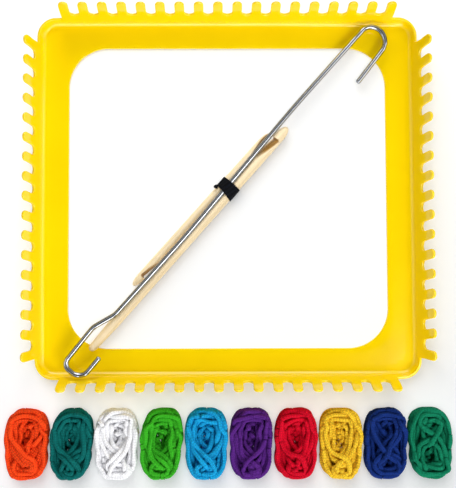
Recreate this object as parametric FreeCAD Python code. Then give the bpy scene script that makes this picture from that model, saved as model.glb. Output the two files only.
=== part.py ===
"""A potholder weaving loom kit lying on a table, in millimetres, +Z up.

The square loom is one pressed steel tray: a flat flange round a window, a bent wall all round, and a row of
upright pegs on each side. In it lie a long wire hook and two bamboo crochet hooks, held together by a wound
elastic tie. Ten hanks of knitted cotton loops stand in a row in front. The origin is on the table, in the
middle of the kit.
"""

import FreeCAD, Part
import math
import os

from FreeCAD import Placement, Rotation, Vector

# Pressed sheet
SHEET = 1.4
BEND_INSIDE = 2.5
WALL_DRAFT = 12.0
RIM_HEIGHT = 10.0
CORNER_HEIGHT = 5.8
SIDE_FLANGE = 11.3
END_FLANGE = 10.5
WINDOW_CORNER = 20.0
RIM_CORNER = 10.5

# Pegs
END_PEGS = 18
SIDE_PEGS = 17
END_PITCH = 9.525
SIDE_PITCH = 9.58
PEG_WIDTH = 4.8
PEG_TIP_HEIGHT = 20.0
PEG_TIP_ROUND = 2.0
PEG_FLARE = 28.0
END_FOOT = 1.0
END_MARGIN = 2.1
SIDE_MARGIN = 0.1
SIDE_ROW_SHIFT = -1.2
SIDE_LEAN = 1.0
CORNER_SPLAY = 1.2

# Bundle of tools, measured from where the tie crosses the long crochet hook
BUNDLE_X = 2.0
BUNDLE_Y = 3.1
LONG_HEADING = 48.4
SHORT_HEADING = 48.0
WIRE_HEADING = 50.0
FLANGE_CLEARANCE = 0.2
TOOL_CLEARANCE = 0.15
WIRE_CLEARANCE = 0.3

LONG_RADIUS = 2.65
LONG_BUTT = 106.4
LONG_HEAD = 42.6
LONG_GROOVE = 20.3
LONG_LIP = 34.4
LONG_THROAT_DEPTH = 2.7
LONG_THROAT_TILT = -42.0

SHORT_RADIUS = 2.0
SHORT_HEAD = 68.3
SHORT_TAIL = 34.0
SHORT_GROOVE = 50.7
SHORT_LIP = 62.2
SHORT_THROAT_DEPTH = 1.85
SHORT_THROAT_TILT = 65.0
TAIL_CUT = 17.0
TAIL_CUT_DEPTH = 2.55
TAIL_CUT_TILT = 45.0

HEAD_NOSE = 6.0
BUTT_NOSE = 3.0
BUTT_TAPER = 14.0
BUTT_RADIUS = 2.05
LIP_RISE = 0.9
LIP_HOOK = 0.7
LIP_ROUND = 0.3

# Wire hook
WIRE_RADIUS = 1.25
WIRE_SIDE = 2.8
WIRE_DROP_ANGLE = 1.15
WIRE_WALL_CLEARANCE = 1.3
BACK_CLEARANCE = 1.15
STEM_BOW = 1.8
STEM_LEFT_BEND = 32.4
STEM_RIGHT_BEND = 50.5
STEM_BEND_RADIUS = 600.0
JOG_START = 35.2
JOG_END = 23.4
JOG_SIDE = 4.35
JOG_BEND = 10.0
SMALL_EYE_WIDTH = 11.5
SMALL_EYE_BEND = 4.2
SMALL_EYE_SIDE = 3.9
SMALL_EYE_TAIL = 13.5
LARGE_EYE_WIDTH = 13.7
LARGE_EYE_LEAN = 1.5
LARGE_EYE_FIRST_BEND = 6.5
LARGE_EYE_BEND = 7.8
LARGE_EYE_LEG = 28.4
LARGE_EYE_SPREAD = 1.1

# Elastic tie
TIE_CORD = 0.7
TIE_CLEARANCE = 0.2
TIE_TURNS = 6
TIE_GAP = 0.45
TAIL_ANGLE = 10.0
TAIL_RUN = 1.5
KNOT_RADIUS = 0.95

# Loop hanks
HANK_NAMES = ("orange", "teal", "white", "green", "sky", "purple", "red", "yellow", "navy", "emerald")
HANK_PITCH = 22.15
HANK_SPACE = 0.5
HANK_LENGTH = 34.1
HANK_ROW_GAP = 10.0
HANK_CORD = 2.3
HANK_GAP = 0.55
HANK_LAYERS = 4
HANK_TURNS = 3
HANK_WAIST = 0.5
HANK_WAIST_Y = -1.0

# The pressed sheet's section, counted outward from the edge of the flat flange
DRAFT = math.radians(WALL_DRAFT)
FLARE = math.radians(PEG_FLARE)
BEND_OUTSIDE = BEND_INSIDE + SHEET
GAP_WIDTH = END_PITCH - PEG_WIDTH
LAND_HEIGHT = RIM_HEIGHT + GAP_WIDTH / 2


def outer_reach(z):
    """How far the wall's outer face lies outside the flat flange at a height above the bend."""
    return BEND_OUTSIDE * math.cos(DRAFT) + (z - BEND_OUTSIDE * (1 - math.sin(DRAFT))) * math.tan(DRAFT)


def inner_reach(z):
    """The same for the wall's inner face."""
    return outer_reach(z) - SHEET / math.cos(DRAFT)


# Frame sizes that follow from the pegs
END_ROW_HALF = (END_PEGS - 1) / 2 * END_PITCH
SIDE_ROW_HALF = (SIDE_PEGS - 1) / 2 * SIDE_PITCH
RIM_HALF_X = END_ROW_HALF + PEG_WIDTH / 2 + END_FOOT + END_MARGIN + RIM_CORNER
RIM_HALF_Y = SIDE_ROW_HALF + abs(SIDE_ROW_SHIFT) + PEG_WIDTH / 2 + END_FOOT + SIDE_MARGIN + RIM_CORNER
FLAT_HALF_X = RIM_HALF_X - outer_reach(RIM_HEIGHT)
FLAT_HALF_Y = RIM_HALF_Y - outer_reach(RIM_HEIGHT)
FLAT_CORNER = RIM_CORNER - outer_reach(RIM_HEIGHT)
WINDOW_HALF_X = FLAT_HALF_X - SIDE_FLANGE
WINDOW_HALF_Y = FLAT_HALF_Y - END_FLANGE
PEG_RISE = PEG_TIP_HEIGHT - LAND_HEIGHT
PEG_OUTER_ARC = PEG_RISE / (math.sin(FLARE) - math.sin(DRAFT))
PEG_REACH = outer_reach(LAND_HEIGHT) + PEG_OUTER_ARC * (math.cos(DRAFT) - math.cos(FLARE))
TIP_HALF_Y = FLAT_HALF_Y + PEG_REACH

# The kit's middle is the origin, so the loom stands behind it and the hanks before it
KIT_DEPTH = 2 * TIP_HALF_Y + HANK_ROW_GAP + HANK_LENGTH
LOOM_Y = KIT_DEPTH / 2 - TIP_HALF_Y
HANK_ROW_Y = HANK_LENGTH / 2 - KIT_DEPTH / 2

# A hank's outermost loop, on the cord's centre line: half its width, and half the straight run between its ends
HANK_HALF_WIDTH = (HANK_PITCH - HANK_SPACE - HANK_CORD) / 2
HANK_HALF_RUN = (HANK_LENGTH - HANK_CORD) / 2 - HANK_HALF_WIDTH

# Heights and sides of the tools
TOOL_FLOOR = SHEET + FLANGE_CLEARANCE
LONG_Z = TOOL_FLOOR + LONG_RADIUS
SHORT_Z = TOOL_FLOOR + SHORT_RADIUS
SHORT_RUN_IN = SHORT_TAIL * math.sin(math.radians(LONG_HEADING - SHORT_HEADING))
SHORT_SIDE = math.sqrt((LONG_RADIUS + SHORT_RADIUS + TOOL_CLEARANCE) ** 2 - (LONG_Z - SHORT_Z) ** 2) + SHORT_RUN_IN
# The wire comes closest to the short hook where that hook's slanted flat begins, and to the long one at the tie
WIRE_RUN_IN = TAIL_CUT * math.sin(math.radians(WIRE_HEADING - SHORT_HEADING))
WIRE_ASIDE = SHORT_SIDE - WIRE_SIDE - WIRE_RUN_IN
WIRE_OVER_SHORT = math.sqrt((SHORT_RADIUS + WIRE_RADIUS + WIRE_CLEARANCE) ** 2 - WIRE_ASIDE ** 2)
WIRE_OVER_LONG = math.sqrt((LONG_RADIUS + WIRE_RADIUS + WIRE_CLEARANCE) ** 2 - WIRE_SIDE ** 2)
SHORT_LIFT = SHORT_Z + WIRE_OVER_SHORT + TAIL_CUT * math.tan(math.radians(WIRE_DROP_ANGLE))
WIRE_Z = max(LONG_Z + WIRE_OVER_LONG, SHORT_LIFT)


def save(name, shape):
    """Write one node's STEP file."""
    shape.exportStep("parts/" + name + ".step")


def arc(a, b, c):
    """An edge along the circle through three points."""
    return Part.Arc(a, b, c).toShape()


def outline_face(corners, rounds):
    """A face through corners in order; rounds gives each arc's middle point by the index of its first corner."""
    edges = []
    for i, a in enumerate(corners):
        b = corners[(i + 1) % len(corners)]
        if i in rounds:
            edges.append(arc(a, rounds[i], b))
        else:
            edges.append(Part.LineSegment(a, b).toShape())
    return Part.Face(Part.Wire(edges))


def rounded_plate(half_x, half_y, radius, thickness):
    """A flat plate on z = 0 with four rounded corners."""
    plate = Part.makeBox(2 * half_x, 2 * half_y, thickness, Vector(-half_x, -half_y, 0))
    upright = [e for e in plate.Edges if abs(e.tangentAt(e.FirstParameter).z) > 0.9]
    return plate.makeFillet(radius, upright)


def wall_section(top):
    """Bend and wall as a face in the XZ plane, with X = 0 where the flat flange ends."""
    outer_end = BEND_OUTSIDE * math.cos(DRAFT), BEND_OUTSIDE * (1 - math.sin(DRAFT))
    inner_end = BEND_INSIDE * math.cos(DRAFT), BEND_OUTSIDE - BEND_INSIDE * math.sin(DRAFT)
    middle = math.radians(-45) - DRAFT / 2
    outer_mid = BEND_OUTSIDE * math.cos(middle), BEND_OUTSIDE * (1 + math.sin(middle))
    inner_mid = BEND_INSIDE * math.cos(middle), BEND_OUTSIDE + BEND_INSIDE * math.sin(middle)
    flat = [(0, 0), outer_end, (outer_reach(top), top), (inner_reach(top), top), inner_end, (0, SHEET)]
    corners = [Vector(x, 0, z) for x, z in flat]
    rounds = {0: Vector(outer_mid[0], 0, outer_mid[1]), 4: Vector(inner_mid[0], 0, inner_mid[1])}
    return outline_face(corners, rounds)


def scalloped_prism(half_run, count, pitch, shift):
    """The room under one side's rim line: a rounded gap between each two pegs, low ends beyond the row."""
    below = -SHEET
    first = shift - (count - 1) / 2 * pitch - PEG_WIDTH / 2
    gap = pitch - PEG_WIDTH
    deep = LAND_HEIGHT - RIM_HEIGHT
    turn = END_FOOT * (1 - math.sqrt(0.5))
    corners = [Vector(0, -half_run, below), Vector(0, -half_run, CORNER_HEIGHT)]
    rounds = {2: Vector(0, first - turn, CORNER_HEIGHT + turn)}
    corners += [Vector(0, first - END_FOOT, CORNER_HEIGHT), Vector(0, first, CORNER_HEIGHT + END_FOOT)]
    for i in range(count):
        near = first + i * pitch
        corners += [Vector(0, near, LAND_HEIGHT), Vector(0, near + PEG_WIDTH, LAND_HEIGHT)]
        if i < count - 1:
            rounds[len(corners) - 1] = Vector(0, near + PEG_WIDTH + gap / 2, LAND_HEIGHT - deep)
    last = first + (count - 1) * pitch + PEG_WIDTH
    corners += [Vector(0, last, CORNER_HEIGHT + END_FOOT)]
    rounds[len(corners) - 1] = Vector(0, last + turn, CORNER_HEIGHT + turn)
    corners += [Vector(0, last + END_FOOT, CORNER_HEIGHT)]
    corners += [Vector(0, half_run, CORNER_HEIGHT), Vector(0, half_run, below)]
    return outline_face(corners, rounds).extrude(Vector(2 * PEG_TIP_HEIGHT, 0, 0))


def side_wall(half_run, count, pitch, shift):
    """One straight wall with its peg lands, at X = 0, running along Y."""
    section = wall_section(LAND_HEIGHT)
    section.translate(Vector(0, -half_run, 0))
    return section.extrude(Vector(0, 2 * half_run, 0)).common(scalloped_prism(half_run, count, pitch, shift))


def turned(shape, angle, x, y):
    """The shape turned about Z and moved."""
    placed = shape.copy()
    placed.Placement = Placement(Vector(x, y, 0), Rotation(Vector(0, 0, 1), angle)).multiply(placed.Placement)
    return placed


def tray():
    """The pressed frame: flange, bends, walls and corners as one sheet."""
    flat = rounded_plate(FLAT_HALF_X, FLAT_HALF_Y, FLAT_CORNER, SHEET)
    window = rounded_plate(WINDOW_HALF_X, WINDOW_HALF_Y, WINDOW_CORNER, SHEET)
    run_x = FLAT_HALF_X - FLAT_CORNER
    run_y = FLAT_HALF_Y - FLAT_CORNER
    right = side_wall(run_y, SIDE_PEGS, SIDE_PITCH, SIDE_ROW_SHIFT)
    left = side_wall(run_y, SIDE_PEGS, SIDE_PITCH, -SIDE_ROW_SHIFT)
    end = side_wall(run_x, END_PEGS, END_PITCH, 0)
    walls = [turned(right, 0, FLAT_HALF_X, 0), turned(left, 180, -FLAT_HALF_X, 0)]
    walls += [turned(end, 90, 0, FLAT_HALF_Y), turned(end, 270, 0, -FLAT_HALF_Y)]
    section = wall_section(CORNER_HEIGHT)
    section.translate(Vector(FLAT_CORNER, 0, 0))
    corner = section.revolve(Vector(0, 0, 0), Vector(0, 0, 1), 90)
    places = ((0, run_x, run_y), (90, -run_x, run_y), (180, -run_x, -run_y), (270, run_x, -run_y))
    walls += [turned(corner, angle, x, y) for angle, x, y in places]
    body = flat.cut(window).fuse(walls).removeSplitter()
    return turned(body, 0, 0, LOOM_Y)


def peg(lean):
    """One peg at X = 0 outward from the flange edge, its foot centred on Y = 0 and its tip moved by lean."""
    foot_out = outer_reach(LAND_HEIGHT)
    foot_in = inner_reach(LAND_HEIGHT)
    centre = Vector(foot_out + PEG_OUTER_ARC * math.cos(DRAFT), 0, LAND_HEIGHT - PEG_OUTER_ARC * math.sin(DRAFT))

    def point(radius, angle):
        return centre + Vector(-radius * math.cos(angle), 0, radius * math.sin(angle))

    inner_arc = PEG_OUTER_ARC + SHEET
    middle = (DRAFT + FLARE) / 2
    corners = [point(PEG_OUTER_ARC, DRAFT), point(PEG_OUTER_ARC, FLARE), point(inner_arc, FLARE)]
    corners += [point(inner_arc, DRAFT), Vector(foot_in, 0, LAND_HEIGHT)]
    rounds = {0: point(PEG_OUTER_ARC, middle), 2: point(inner_arc, middle)}
    blade = outline_face(corners, rounds)
    blade.translate(Vector(0, -PEG_WIDTH, 0))
    blade = blade.extrude(Vector(0, 2 * PEG_WIDTH, 0))
    half = PEG_WIDTH / 2
    shoulder = PEG_TIP_HEIGHT - PEG_TIP_ROUND
    front = [Vector(0, -half, LAND_HEIGHT), Vector(0, half, LAND_HEIGHT)]
    front += [Vector(0, lean + half, shoulder), Vector(0, lean - half, shoulder)]
    tip = {2: Vector(0, lean, PEG_TIP_HEIGHT)}
    return blade.common(outline_face(front, tip).extrude(Vector(2 * PEG_TIP_HEIGHT, 0, 0)))


def peg_row(count, pitch, shift, leans, angle, x, y):
    """A side's pegs, each a piece of its own; leans gives the lean of the first, the inner and the last ones."""
    kinds = [peg(lean) for lean in leans]
    pegs = []
    for i in range(count):
        kind = kinds[0] if i == 0 else kinds[2] if i == count - 1 else kinds[1]
        placed = kind.copy()
        placed.translate(Vector(0, shift + (i - (count - 1) / 2) * pitch, 0))
        pegs.append(turned(placed, angle, x, y + LOOM_Y))
    return Part.makeCompound(pegs)


def peg_rows():
    """All four rows, by node name."""
    splayed = (-CORNER_SPLAY, 0, CORNER_SPLAY)
    right = (SIDE_LEAN - CORNER_SPLAY, SIDE_LEAN, SIDE_LEAN)
    left = (-SIDE_LEAN, -SIDE_LEAN, CORNER_SPLAY - SIDE_LEAN)
    side = SIDE_PEGS, SIDE_PITCH
    end = END_PEGS, END_PITCH
    return {
        "peg_row_right": peg_row(*side, SIDE_ROW_SHIFT, right, 0, FLAT_HALF_X, 0),
        "peg_row_left": peg_row(*side, -SIDE_ROW_SHIFT, left, 180, -FLAT_HALF_X, 0),
        "peg_row_back": peg_row(*end, 0, splayed, 90, 0, FLAT_HALF_Y),
        "peg_row_front": peg_row(*end, 0, splayed, 270, 0, -FLAT_HALF_Y),
    }


def along(heading, side, z):
    """A tool's own place: X along its heading, Y to its left, from the middle of the tie."""
    base = Placement(Vector(BUNDLE_X, BUNDLE_Y + LOOM_Y, 0), Rotation(Vector(0, 0, 1), LONG_HEADING))
    own = Placement(Vector(0, side, z), Rotation(Vector(0, 0, 1), heading - LONG_HEADING))
    return base.multiply(own)


def nose_edge(x, radius, nose):
    """A quarter of an ellipse from the side of a rod at x to the tip of its nose on the axis."""
    curve = Part.BezierCurve()
    curve.setPoles([Vector(x, radius, 0), Vector(x + nose, radius, 0), Vector(x + nose, 0, 0)])
    curve.setWeight(2, math.sqrt(0.5))
    return curve.toShape()


def turned_rod(tail, tail_radius, radius, head):
    """A round rod from -tail to head with rounded noses, tapered towards its tail."""
    tail_end = Vector(BUTT_NOSE - tail, tail_radius, 0)
    shoulder = Vector(tail_end.x + BUTT_TAPER, radius, 0)
    head_end = Vector(head - HEAD_NOSE, radius, 0)
    edges = [nose_edge(tail_end.x, tail_radius, -BUTT_NOSE)]
    edges += [Part.LineSegment(tail_end, shoulder).toShape(), Part.LineSegment(shoulder, head_end).toShape()]
    edges += [nose_edge(head_end.x, radius, HEAD_NOSE)]
    edges += [Part.LineSegment(Vector(head, 0, 0), Vector(-tail, 0, 0)).toShape()]
    face = Part.Face(Part.Wire(Part.__sortEdges__(edges)))
    return face.revolve(Vector(0, 0, 0), Vector(1, 0, 0), 360)


def throat(radius, groove, lip, depth, tilt, way):
    """The cut that makes a hook, opening upwards and turned right by tilt: a long slope down to a lip."""
    top = radius + LIP_RISE
    floor = radius - depth
    points = [(groove, radius), (lip - LIP_RISE, floor), (lip, floor + LIP_RISE)]
    points += [(lip - LIP_HOOK, top), (groove, top)]
    corners = [Vector(way * x, -2 * radius, z) for x, z in points]
    cutter = outline_face(corners, {1: Vector(way * (lip - LIP_ROUND), -2 * radius, floor + LIP_ROUND)})
    cutter = cutter.extrude(Vector(0, 4 * radius, 0))
    cutter.rotate(Vector(0, 0, 0), Vector(1, 0, 0), tilt)
    return cutter


def long_crochet_hook():
    """The long bamboo hook, its head to the upper right."""
    rod = turned_rod(LONG_BUTT, BUTT_RADIUS, LONG_RADIUS, LONG_HEAD)
    hook = rod.cut(throat(LONG_RADIUS, LONG_GROOVE, LONG_LIP, LONG_THROAT_DEPTH, LONG_THROAT_TILT, 1))
    hook.Placement = along(LONG_HEADING, 0, LONG_Z)
    return hook


def short_crochet_hook():
    """The short bamboo hook, its head to the lower left and a slanted flat on its other end."""
    rod = turned_rod(SHORT_HEAD, SHORT_RADIUS, SHORT_RADIUS, SHORT_TAIL)
    cut = throat(SHORT_RADIUS, SHORT_GROOVE, SHORT_LIP, SHORT_THROAT_DEPTH, SHORT_THROAT_TILT, -1)
    high = 2 * SHORT_RADIUS
    slope = [(TAIL_CUT, SHORT_RADIUS), (SHORT_TAIL, SHORT_RADIUS - TAIL_CUT_DEPTH), (SHORT_TAIL, high)]
    flat = outline_face([Vector(x, -high, z) for x, z in slope + [(TAIL_CUT, high)]], {})
    flat = flat.extrude(Vector(0, 2 * high, 0))
    flat.rotate(Vector(0, 0, 0), Vector(1, 0, 0), TAIL_CUT_TILT)
    hook = rod.cut(cut).cut(flat)
    hook.Placement = along(SHORT_HEADING, SHORT_SIDE, SHORT_Z)
    return hook


def bent_path(points, bends):
    """A flat path through points, with an arc of the given radius at each inner one."""
    edges = []
    start = points[0]
    for i in range(1, len(points) - 1):
        back = (points[i - 1] - points[i]).normalize()
        ahead = (points[i + 1] - points[i]).normalize()
        half = back.getAngle(ahead) / 2
        run = bends[i - 1] / math.tan(half)
        middle = (back + ahead).normalize() * (bends[i - 1] / math.sin(half) - bends[i - 1])
        entry = points[i] + back * run
        leave = points[i] + ahead * run
        if (entry - start).Length > 1e-6:
            edges.append(Part.LineSegment(start, entry).toShape())
        edges.append(arc(entry, points[i] + middle, leave))
        start = leave
    edges.append(Part.LineSegment(start, points[-1]).toShape())
    return Part.Wire(edges)


def tube(path, radius):
    """A round tube along a path, cut square at both ends."""
    first = path.Edges[0]
    ring = Part.Circle(first.valueAt(first.FirstParameter), first.tangentAt(first.FirstParameter), radius)
    return path.makePipeShell([Part.Wire([ring.toShape()])], True, False)


def wire_reaches():
    """Where the two eyes end along the stem, set by the loom's walls and the clearances to them."""
    heading = math.radians(WIRE_HEADING)
    long_heading = math.radians(LONG_HEADING)
    tie_y = BUNDLE_Y + WIRE_SIDE * math.cos(long_heading)
    wall = FLAT_HALF_Y + inner_reach(RIM_HEIGHT)
    eye = SMALL_EYE_WIDTH / 2
    eye_side = (STEM_BOW + SMALL_EYE_SIDE - eye) * math.cos(heading)
    front = -wall + WIRE_WALL_CLEARANCE + WIRE_RADIUS + eye - eye_side - tie_y
    back = wall - BACK_CLEARANCE - WIRE_RADIUS + STEM_BOW * math.cos(heading) - tie_y
    return front / math.sin(heading) - eye, back / math.sin(heading)


def wire_hook():
    """The steel wire hook: a slightly bowed stem with a small eye at the lower left, a large one at the back."""
    low, high = wire_reaches()
    inner = STEM_BOW + SMALL_EYE_SIDE - SMALL_EYE_WIDTH
    outer = -STEM_BOW - LARGE_EYE_WIDTH
    tip = high + LARGE_EYE_LEAN
    flat = [(low + SMALL_EYE_TAIL, inner), (low, inner), (low, STEM_BOW + SMALL_EYE_SIDE)]
    flat += [(low + JOG_END, STEM_BOW + JOG_SIDE), (low + JOG_START, STEM_BOW)]
    flat += [(-STEM_LEFT_BEND, 0), (STEM_RIGHT_BEND, 0), (high, -STEM_BOW)]
    flat += [(tip, outer), (tip - LARGE_EYE_LEG, outer - LARGE_EYE_SPREAD)]
    bends = [SMALL_EYE_WIDTH / 2, SMALL_EYE_BEND, JOG_BEND, JOG_BEND, STEM_BEND_RADIUS, STEM_BEND_RADIUS]
    bends += [LARGE_EYE_FIRST_BEND, LARGE_EYE_BEND]
    points = [Vector(x, y, 0) for x, y in flat]
    hook = tube(bent_path(points, bends), WIRE_RADIUS)
    for end in (points[0], points[-1]):
        hook = hook.fuse(Part.makeSphere(WIRE_RADIUS, end))
    hook = hook.removeSplitter()
    tilt = Placement(Vector(0, 0, 0), Rotation(Vector(0, 1, 0), WIRE_DROP_ANGLE))
    hook.Placement = along(WIRE_HEADING, WIRE_SIDE, WIRE_Z).multiply(tilt)
    return hook


def biarc(a, a_way, b, b_way):
    """Two edges that leave a along a_way and reach b along b_way, tangent where they meet."""
    chord = b - a
    spread = 2 * (1 - a_way.dot(b_way))
    both = chord.dot(a_way + b_way)
    if spread < 1e-9:
        reach = chord.dot(chord) / (2 * both)
    else:
        reach = (math.sqrt(both * both + spread * chord.dot(chord)) - both) / spread
    a_corner = a + a_way * reach
    b_corner = b - b_way * reach
    joint = (a_corner + b_corner) * 0.5
    edges = []
    for start, corner, end in ((a, a_corner, joint), (joint, b_corner, b)):
        middle = (start + end) * 0.5
        rise = (corner - middle).Length
        half = (end - start).Length / 2
        if rise < 1e-6:
            edges.append(Part.LineSegment(start, end).toShape())
            continue
        radius = half * math.hypot(half, rise) / rise
        sag = radius - math.sqrt(radius * radius - half * half)
        edges.append(arc(start, middle + (corner - middle) * (sag / rise), end))
    return edges


def least_gap(path, cord):
    """The least clear space between stretches of a wound cord that aren't next to each other, on points."""
    points = []
    runs = []
    length = 0.0
    for edge in path.Edges:
        steps = math.ceil(4 * edge.Length / cord)
        points += edge.discretize(steps + 1)[:-1]
        runs += [length + edge.Length * i / steps for i in range(steps)]
        length += edge.Length
    flat = [(p.x, p.y, p.z) for p in points]
    least = length
    for i, (x, y, z) in enumerate(flat):
        for j in range(i + 1, len(flat)):
            if runs[j] - runs[i] < 3 * cord:
                continue
            other = flat[j]
            gap = (x - other[0]) ** 2 + (y - other[1]) ** 2 + (z - other[2]) ** 2
            least = min(least, gap)
    return math.sqrt(least) - cord


def loop_stretches(circles):
    """A taut loop round three circles in order: each arc's centre, radius and first and last angle."""
    stretches = []
    for i, (x, y, r) in enumerate(circles):
        angles = []
        for a, b in ((circles[i - 1], circles[i]), (circles[i], circles[(i + 1) % 3])):
            heading = math.atan2(b[1] - a[1], b[0] - a[0])
            lift = math.acos((a[2] - b[2]) / math.hypot(b[0] - a[0], b[1] - a[1]))
            angles.append(heading - lift)
        while angles[1] < angles[0]:
            angles[1] += 2 * math.pi
        stretches.append((x, y, r, angles[0], angles[1]))
    return stretches


def tie_circles():
    """What the tie's cord runs round, seen along the tools: side, height and radius of its centre line."""
    room = TIE_CLEARANCE + TIE_CORD / 2
    long_one = 0, LONG_Z, LONG_RADIUS + room
    short_one = SHORT_SIDE, SHORT_Z, SHORT_RADIUS + room
    wire = WIRE_SIDE, WIRE_Z, WIRE_RADIUS + room
    return [long_one, short_one, wire]


def tie_round(stretches):
    """One turn of the cord as knots: side, height, heading angle and run from the knot before."""
    x, y, r, _, last = stretches[-1]
    before = x + r * math.cos(last), y + r * math.sin(last)
    knots = []
    for x, y, r, first, last in stretches:
        half = (last - first) / 2
        for angle in (first, first + half, last):
            here = x + r * math.cos(angle), y + r * math.sin(angle)
            run = math.dist(before, here) if angle == first else r * half
            knots.append((here[0], here[1], angle + math.pi / 2, run))
            before = here
    return knots


def elastic_tie():
    """The wound elastic cord, and its path's end and heading there, where the knot sits."""
    stretches = loop_stretches(tie_circles())
    # The cord starts where it leaves the long hook, under the tools
    round_knots = tie_round(stretches[1:] + stretches[:1])
    knots = TIE_TURNS * round_knots + round_knots[:1]
    x, y, r, first, _ = stretches[1]
    tail = math.radians(TAIL_ANGLE)
    leave = x + r * math.cos(tail), y + r * math.sin(tail)
    knots.append((leave[0], leave[1], tail + math.pi / 2, r * (tail - first)))
    pitch = TIE_CORD + TIE_GAP
    climb = pitch / sum(knot[3] for knot in round_knots)
    steep = 1 / math.hypot(1, climb)

    def heading(angle):
        return Vector(-climb * steep, math.cos(angle) * steep, math.sin(angle) * steep)

    here = TIE_TURNS * pitch / 2
    point = Vector(here, round_knots[-1][0], round_knots[-1][1])
    way = heading(round_knots[-1][2])
    edges = []
    for side, height, angle, run in knots:
        here -= climb * run
        goal = Vector(here, side, height)
        edges += biarc(point, way, goal, heading(angle))
        point = goal
        way = heading(angle)
    end = point + way * TAIL_RUN
    edges.append(Part.LineSegment(point, end).toShape())
    path = Part.Wire(edges)
    print("elastic tie: %d turns, least gap to itself %.3f mm" % (TIE_TURNS, least_gap(path, TIE_CORD)))
    cord = tube(path, TIE_CORD / 2)
    cord.Placement = along(LONG_HEADING, 0, 0)
    return cord, end, way


def tie_knot(end, way):
    """The knot on the tail, a ball with a flat where the cord's end meets it."""
    seat = math.sqrt(KNOT_RADIUS ** 2 - (TIE_CORD / 2) ** 2)
    low = -math.degrees(math.asin(seat / KNOT_RADIUS))
    knot = Part.makeSphere(KNOT_RADIUS, end + way * seat, way, low, 90, 360)
    knot.Placement = along(LONG_HEADING, 0, 0).multiply(knot.Placement)
    return knot


def hank_knot(step):
    """The cord's point and heading at a step, eight to a turn, counted from the right side's waist."""
    pitch = HANK_CORD + HANK_GAP
    per_layer = 8 * HANK_TURNS
    # The spiral goes in on one layer and out on the next, and climbs along the run where it reverses
    climbs = [min(max((step + 1 - n * per_layer) / 2, 0), 1) for n in range(1, HANK_LAYERS)]
    z = HANK_CORD / 2 + pitch * sum(climbs)
    slope = 0.75 * pitch / HANK_HALF_RUN if 0.5 in climbs else 0
    # Two steps from the outer reversal the loop meets its end, which is where its full length counts
    inset = pitch / 8 * (per_layer - abs(per_layer - step % (2 * per_layer)) - 2)
    side = HANK_HALF_WIDTH - inset
    waist = side - HANK_WAIST
    end = HANK_HALF_RUN + side
    spots = [(waist, HANK_WAIST_Y, 0, 1), (side, HANK_HALF_RUN, 0, 1), (0, end, -1, 0)]
    spots += [(-side, HANK_HALF_RUN, 0, -1), (-waist, HANK_WAIST_Y, 0, -1), (-side, -HANK_HALF_RUN, 0, -1)]
    spots += [(0, -end, 1, 0), (side, -HANK_HALF_RUN, 0, 1)]
    x, y, way_x, way_y = spots[step % 8]
    return Vector(x - pitch / 8, y, z), Vector(way_x, way_y, slope).normalize()


def hank():
    """One hank lying on z = 0: one cord that spirals in and out, layer over layer."""
    loops = HANK_TURNS * HANK_LAYERS
    knots = [hank_knot(step) for step in range(1, 8 * loops)]
    edges = []
    for (a, a_way), (b, b_way) in zip(knots, knots[1:]):
        edges += biarc(a, a_way, b, b_way)
    (first, first_way), (last, last_way) = knots[0], knots[-1]
    edges.insert(0, Part.LineSegment(first - first_way * HANK_CORD, first).toShape())
    edges.append(Part.LineSegment(last, last + last_way * HANK_CORD).toShape())
    path = Part.Wire(edges)
    print("hank: %d loops, least gap to itself %.3f mm" % (loops, least_gap(path, HANK_CORD)))
    return tube(path, HANK_CORD / 2)


def hanks():
    """The row of ten hanks, by node name."""
    one = hank()
    row = {}
    for i, colour in enumerate(HANK_NAMES):
        x = (i - (len(HANK_NAMES) - 1) / 2) * HANK_PITCH
        row["loops_" + colour] = turned(one, 0, x, HANK_ROW_Y)
    return row


def main():
    os.makedirs("parts", exist_ok=True)
    save("tray", tray())
    for name, row in peg_rows().items():
        save(name, row)
    save("wire_hook", wire_hook())
    save("long_crochet_hook", long_crochet_hook())
    save("short_crochet_hook", short_crochet_hook())
    cord, end, way = elastic_tie()
    save("elastic_tie", cord)
    save("tie_knot", tie_knot(end, way))
    for name, form in hanks().items():
        save(name, form)


main()
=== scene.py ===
"""The looks of a potholder weaving loom kit: pressed enamelled frame, hooks, elastic tie and cotton loops."""

import math

import bmesh
import bpy
import numpy as np
from bpy.props import FloatProperty, FloatVectorProperty, IntProperty, PointerProperty
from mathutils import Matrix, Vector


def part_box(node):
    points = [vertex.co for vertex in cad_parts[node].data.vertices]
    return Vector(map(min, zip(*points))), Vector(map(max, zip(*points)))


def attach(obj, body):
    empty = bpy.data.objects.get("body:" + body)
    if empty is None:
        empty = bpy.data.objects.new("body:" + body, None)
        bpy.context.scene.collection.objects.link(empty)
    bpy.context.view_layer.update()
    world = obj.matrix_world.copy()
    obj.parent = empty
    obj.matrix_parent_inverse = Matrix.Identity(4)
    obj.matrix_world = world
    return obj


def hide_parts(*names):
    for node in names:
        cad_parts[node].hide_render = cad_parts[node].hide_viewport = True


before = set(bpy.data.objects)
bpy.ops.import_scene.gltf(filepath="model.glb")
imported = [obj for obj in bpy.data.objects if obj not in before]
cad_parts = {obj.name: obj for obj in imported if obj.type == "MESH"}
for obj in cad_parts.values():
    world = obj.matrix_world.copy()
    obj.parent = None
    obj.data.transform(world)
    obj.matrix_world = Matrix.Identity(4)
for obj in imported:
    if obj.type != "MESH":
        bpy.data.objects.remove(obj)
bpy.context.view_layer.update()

bl_info = {
    "name": "Potholder Loom",
    "version": (1, 0, 0),
    "blender": (4, 5, 0),
    "location": "3D View > Sidebar > Loom",
    "description": "Builds a pressed metal potholder loom with its hooks and cotton loops",
    "category": "Add Mesh",
}

MM = 0.001
TAU = 2 * math.pi
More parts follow.
